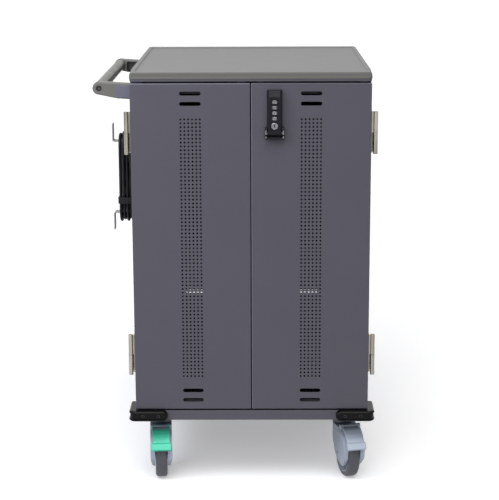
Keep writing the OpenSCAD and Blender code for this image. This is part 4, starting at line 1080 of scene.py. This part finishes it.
def make_lever():
    back = -PLATE_T - LOCK_GAP
    foot_y = back - WEB_T - LOCK_GAP
    side = [(foot_y, 0), (foot_y, LEVER_STEP), (back, LEVER_STEP), (back, LEVER_TOP),
            (FACET_T - LOCK_OUT, LEVER_TOP), (-LOCK_OUT, LEVER_TOP - FACET_L), (-LOCK_OUT, 0)]
    lever = prism("lever", side, "x", -LEVER_HALF, LEVER_HALF, LOCK_BLACK)
    weigh_facets(lever)
    bevel(lever, 4.6, 1, 30, weighted=True)
    joined(lever, cylinder("foot", (0, LEVER_PIN_Y, 0), X, 6, 2 * LEVER_HALF, LOCK_BLACK))
    pin_bore = cylinder("bore", (0, 0, 0), X, LEVER_BORE_R, ACROSS, LOCK_BLACK, segments=44)
    cut(lever, moved(pin_bore, shifted(0, LEVER_PIN_Y, 0) @ turned(3, "X")))
    bevel(lever, 0.7, 2, 28)
    half = RECESS_W / 2
    outline = [(half, 7)] + arc((0, RECESS_TOP - half), half, 0, 180, 24) + [(-half, 7)]
    recess = prism("recess", outline, "y", -LOCK_OUT - 1, -LOCK_OUT + RECESS_T, LOCK_BLACK)
    pockets = [cylinder("pocket", (0, DIAL_Y, DIAL_TOP - i * DIAL_PITCH), Z, DIAL_R + 0.5, DIAL_T + 0.9,
                        LOCK_BLACK) for i in range(4)]
    key_bore = cylinder("bore", (0, -LOCK_OUT + 4.5, KEY_Z), Y, KEY_R + 0.15, 13, LOCK_BLACK)
    cut(lever, recess, *pockets, key_bore)
    piece("lock_lever", "black_plastic", lever, body="lock_lever", place=LOCK_PLACE, angle=25)


SHOWN = (0, 7, 2, 4)
DIGIT_H = 8.2
DIGIT_T = 0.06
FACE_TURN = 36.0


def make_digit(digit):
    curve = bpy.data.curves.new("digit", "FONT")
    curve.body = str(digit)
    curve.size = DIGIT_H
    curve.align_x = curve.align_y = "CENTER"
    curve.extrude = DIGIT_T
    text = new_object("digit", curve)
    bpy.context.view_layer.update()
    graph = bpy.context.evaluated_depsgraph_get()
    mesh = bpy.data.meshes.new_from_object(text.evaluated_get(graph))
    bpy.data.objects.remove(text)
    return dress(new_object("digit", mesh), INK_AND_SHADE)


def make_dials():
    digits = [make_digit(digit) for digit in range(10)]
    flat = DIAL_R * math.cos(math.radians(FACE_TURN / 2))
    half = DIAL_T / 2
    rim = DIAL_R - 0.1
    narrow = Matrix.Diagonal((0.8, 0.8, 1, 1))
    for i, first in enumerate(SHOWN):
        body = lathe("dial", [(1.6, -half), (flat - 1.1, -half), (rim, 1.2 - half), (rim, half - 1.2),
                              (flat - 1.1, half), (1.6, half)], 10, DIAL, closed=True)
        moved(body, turned(-90, "Z"))
        parts = [bevel(moved(body, turned(FACE_TURN / 2, "Z")), 0.35, 2, 20)]
        parts += [copy_of(digits[(first + k) % 10], turned(FACE_TURN * k, "Z") @ shifted(0, 0.02 - flat, 0)
                          @ turned(90, "X") @ narrow) for k in range(10)]
        name = "dial_%d" % (i + 1)
        piece(name, "dial_chrome", *parts, body=name, angle=15,
              place=LOCK_PLACE @ shifted(0, DIAL_Y, DIAL_TOP - i * DIAL_PITCH))
    for solid in digits:
        bpy.data.objects.remove(solid)


def make_key():
    face = RECESS_T - LOCK_OUT - RECESS_T / 2
    plug = lathe("plug", [(0, 0.9), (4.4, 0.9), (4.9, 0.4), (6.2, 0.1), (KEY_R - 0.9, 0.1),
                          (KEY_R - 0.25, 0.5), (KEY_R, 1.2), (KEY_R, 9.4), (0, 9.4)], 48, DIAL)
    keyway = prism("keyway", [(-1, -3.8), (1, -3.8), (1, -0.8), (1.5, -0.8), (1.5, 1.4), (0.6, 1.4),
                              (0.6, 3.8), (-1, 3.8)], "y", -1, 4, DIAL)
    cut(moved(plug, turned(-90, "X")), keyway)
    # A dark block in the keyway's mouth: painted shade of the slot
    keyway_shade = prism("keyway_shade", rectangle(-1.4, -3.7, 1.4, 3.7), "y", 0.9, 2.4, INK_AND_SHADE)
    piece("key_plug", "dial_chrome", plug, keyway_shade, body="key_plug", place=LOCK_PLACE @ shifted(0, face, KEY_Z))


make_plate()
make_hub()
make_lever()
make_dials()
make_key()

# Cord's gland, strap and plug

BLADE_X = 6.25
BLADE_HALF = 0.8
PLUG_HALF = 16.5
PLUG_DEEP = 13.0
PLUG_FOOT = END_ROUTE[-1]
GLAND = (-320.0, 448.0, 920.0)


def make_gland():
    x, y, z = GLAND
    nut = lathe("nut", [(5, 0), (13, 0), (14, 0.8), (14, 7.2), (13, 8), (5, 8)], 6, PLUG_BLACK, closed=True)
    moved(nut, shifted(-HALF_W + SHEET, y, z) @ turned(90, "Y"))
    shank = cylinder("shank", (-HALF_W + 1, y, z), X, 9.9, 5, PLUG_BLACK)
    elbow = lathe("elbow", [(0, 0), (13.2, 0), (14, 0.8), (14, 3), (13, 3.6), (13, 5), (13.8, 6), (13.8, 15)]
                  + arc((0, 15), 13.8, 10, 90, 8), 40, PLUG_BLACK)
    moved(elbow, shifted(-HALF_W, y, z) @ turned(-90, "Y"))
    neck = cylinder("neck", (x, y - 8, z), Y, 12.6, 14, PLUG_BLACK)
    steps = [(0, 0), (4.3, 0), (4.6, 0.6)]
    for k in range(6):
        r = 4.9 + 0.75 * k
        steps += [(r, 1.5 + 3.9 * k), (r, 3.9 + 3.9 * k), (r - 0.8, 4.3 + 3.9 * k), (r - 0.6, 5.0 + 3.9 * k)]
    steps += [(10.4, 25), (12, 27), (12, 30), (0, 30)]
    relief = lathe("relief", steps, 36, PLUG_BLACK)
    moved(relief, shifted(x, 410, z) @ turned(-90, "X"))
    return piece("cord_gland", "black_plastic", nut, shank, elbow, neck, relief, angle=34)


def make_plug():
    steps = [(0, 0), (4.4, 0), (5.0, 0.8)]
    for k in range(5):
        r = 5.2 + 0.62 * k
        low = 3.8 * k
        steps += [(r, 1.4 + low), (r + 0.25, 3.6 + low), (r - 0.7, 4.0 + low), (r - 0.7, 4.8 + low)]
    steps += [(8.4, 20.4), (8.4, 23), (0, 23)]
    relief = lathe("relief", steps, 32, PLUG_BLACK)
    side = rounded([(-PLUG_HALF / 2, 20), (PLUG_HALF / 2, 20), (PLUG_HALF, 30), (PLUG_HALF, 52),
                    (-PLUG_HALF, 52), (-PLUG_HALF, 30)], [3, 3, 6, 2.5, 2.5, 6])
    body = prism("plug", side, "y", -PLUG_DEEP, PLUG_DEEP, PLUG_BLACK)
    outline = rounded(rectangle(-PLUG_HALF, -PLUG_DEEP, PLUG_HALF, PLUG_DEEP), 6.5)
    combine(body, [prism("plan", outline, "z", 15, 55, PLUG_BLACK)], "INTERSECT")
    bevel(body, 1.5, 3, 42)
    blades = []
    for s in (-1, 1):
        x = s * (PLUG_HALF + 0.1)
        groove = rounded(rectangle(x - 0.9, -7, x + 0.9, 7), 0.8)
        cut(body, *(prism("grip", groove, "z", 33 + 4.4 * k, 35 + 4.4 * k, PLUG_BLACK) for k in range(4)))
        x = s * BLADE_X
        flat = rounded(rectangle(-3.75, 51, 3.75, 68), [0, 0, 1.6, 1.6])
        blade = prism("blade", flat, "x", x - BLADE_HALF, x + BLADE_HALF, NICKEL)
        cut(blade, cylinder("hole", (x, 0, 64.5), X, 1.6, 4, NICKEL, segments=20))
        blades.append(bevel(blade, 0.25, 1))
    earth = lathe("earth", [(0, 51), (2.4, 51), (2.4, 67), (1.9, 68.8), (1, 69.6), (0, 69.6)], 24, NICKEL)
    moved(earth, shifted(0, 6.5, 0))
    return piece("cord_plug", "black_plastic", relief, body, earth, *blades, place=shifted(*PLUG_FOOT),
                 angle=34)


def make_tie():
    x0, y0, x1, y1 = -365.6, 300.8, -328.6, 333.4
    z0, z1, t = 706.1, 724.1, 2.5
    band = prism("band", rounded(rectangle(x0 - t, y0 - t, x1 + t, y1 + t), 7), "z", z0, z1, PLUG_BLACK)
    inner = prism("inner", rounded(rectangle(x0, y0, x1, y1), 4.6), "z", z0 - 2, z1 + 2, PLUG_BLACK)
    cut(bevel(band, 0.8), inner)
    outline = rounded(rectangle(x0 + 8, z0 + 1.2, x0 + 27, z1 - 1.2), 3)
    buckle = bevel(prism("buckle", outline, "y", y0 - t - 1.6, y0 - t + 0.6, PLUG_BLACK), 0.7)
    return piece("cord_tie", "black_plastic", band, buckle, angle=34)


cord, cord_points = make_cord()
plug = make_plug()
make_gland()
make_tie()

# Mains leads inside the cabinet

LEAD_R = 3.5
LEAD_BEND = 21.0


def make_inner_leads():
    _, y, top = GLAND
    low = 249.0
    behind = y - 21.5
    start, end = -HALF_W + SHEET + 8, -120.0
    drop = start + LEAD_BEND + 7
    routes = [[(start, y, top), (drop, y, top), (drop, y, low), (end, y, low)],
              [(60, behind, 289), (60, behind, 360.7)], [(60, behind, 406.7), (60, behind, 794.2)]]
    parts = []
    for route in routes:
        corners = [Vector(p) for p in route]
        points = [corners[0]]
        for back, corner, ahead in zip(corners, corners[1:], corners[2:]):
            a, b = (back - corner).normalized() * LEAD_BEND, (ahead - corner).normalized() * LEAD_BEND
            points += [corner + a * (1 - math.sin(t)) + b * (1 - math.cos(t))
                       for t in (math.radians(9 * k) for k in range(11))]
        points.append(corners[-1])
        rings = []
        for i, point in enumerate(points):
            way = (points[min(i + 1, len(points) - 1)] - points[max(i - 1, 0)]).normalized()
            u = way.cross(Y).normalized()
            v = way.cross(u)
            rings.append([point + LEAD_R * (math.cos(a) * u + math.sin(a) * v)
                          for a in (math.radians(22.5 * k) for k in range(16))])
        parts.append(loft("lead", rings, JACKET))
    piece("inner_leads", "cord_jacket", *parts, angle=50)


make_inner_leads()

# Floor, world and lights

scene = bpy.context.scene
scene.view_settings.view_transform = "Standard"
WHITE = (1, 1, 1, 1)
FLOOR_SIZE = 30.0
FLOOR_GLOW = 0.32


def light_path_share(tree):
    """1 for camera, glossy and transmission rays, 0 for the rest."""
    path = tree.nodes.new("ShaderNodeLightPath")
    share = path.outputs["Is Camera Ray"]
    for ray in ("Is Glossy Ray", "Is Transmission Ray"):
        share = add(tree, "Math", {0: share, 1: path.outputs[ray]}, "Value", operation="MAXIMUM")
    return share


def make_floor():
    corners = rectangle(-FLOOR_SIZE, -FLOOR_SIZE, FLOOR_SIZE, FLOOR_SIZE)
    floor = mesh_object("floor", [(x, y, 0) for x, y in corners], [(0, 1, 2, 3)])
    made = bpy.data.materials.new("floor")
    made.use_nodes = True
    tree = made.node_tree
    share = light_path_share(tree)
    feed(tree, tree.nodes["Principled BSDF"], {
        "Roughness": 0.9, "Specular IOR Level": 0.0, "Emission Color": WHITE,
        "Base Color": mixed(tree, share, (0.62, 0.62, 0.63, 1), (0.95, 0.95, 0.95, 1)),
        "Emission Strength": add(tree, "Math", {0: share, 1: FLOOR_GLOW}, "Value", operation="MULTIPLY")})
    dress(floor, made)


def make_world():
    scene.world = bpy.data.worlds.new("studio")
    scene.world.use_nodes = True
    tree = scene.world.node_tree
    colour = mixed(tree, light_path_share(tree), (0.25, 0.26, 0.28, 1), WHITE)
    feed(tree, tree.nodes["Background"], {"Color": colour})


def lamp(name, kind, way, power, colour):
    """Lamp that shines along a direction."""
    data = bpy.data.lights.new(name, kind)
    data.energy = power
    data.color = colour
    made = new_object(name, data)
    made.rotation_mode = "QUATERNION"
    made.rotation_quaternion = way.to_track_quat("-Z", "Y")
    return made


def sun(name, azimuth, elevation, strength, width, colour):
    """Sun whose light comes from an azimuth, 0 being the front and 90 the right, and an elevation."""
    a, e = math.radians(azimuth), math.radians(elevation)
    back = Vector((math.sin(a) * math.cos(e), -math.cos(a) * math.cos(e), math.sin(e)))
    lamp(name, "SUN", -back, strength, colour).data.angle = math.radians(width)


def softbox(name, place, target, size, power, colour):
    made = lamp(name, "AREA", Vector(target) - Vector(place), power, colour)
    made.location = place
    made.data.shape = "RECTANGLE"
    made.data.size, made.data.size_y = size


make_floor()
make_world()
sun("key", -12, 28, 0.7, 32, (1, 0.99, 0.98))
sun("top", 8, 62, 1.5, 40, (1, 0.99, 0.96))
softbox("front_left", (-1.25, -1.35, 1.85), (-0.3, -0.3, 1.0), (0.9, 1.0), 20, (0.86, 0.88, 1))
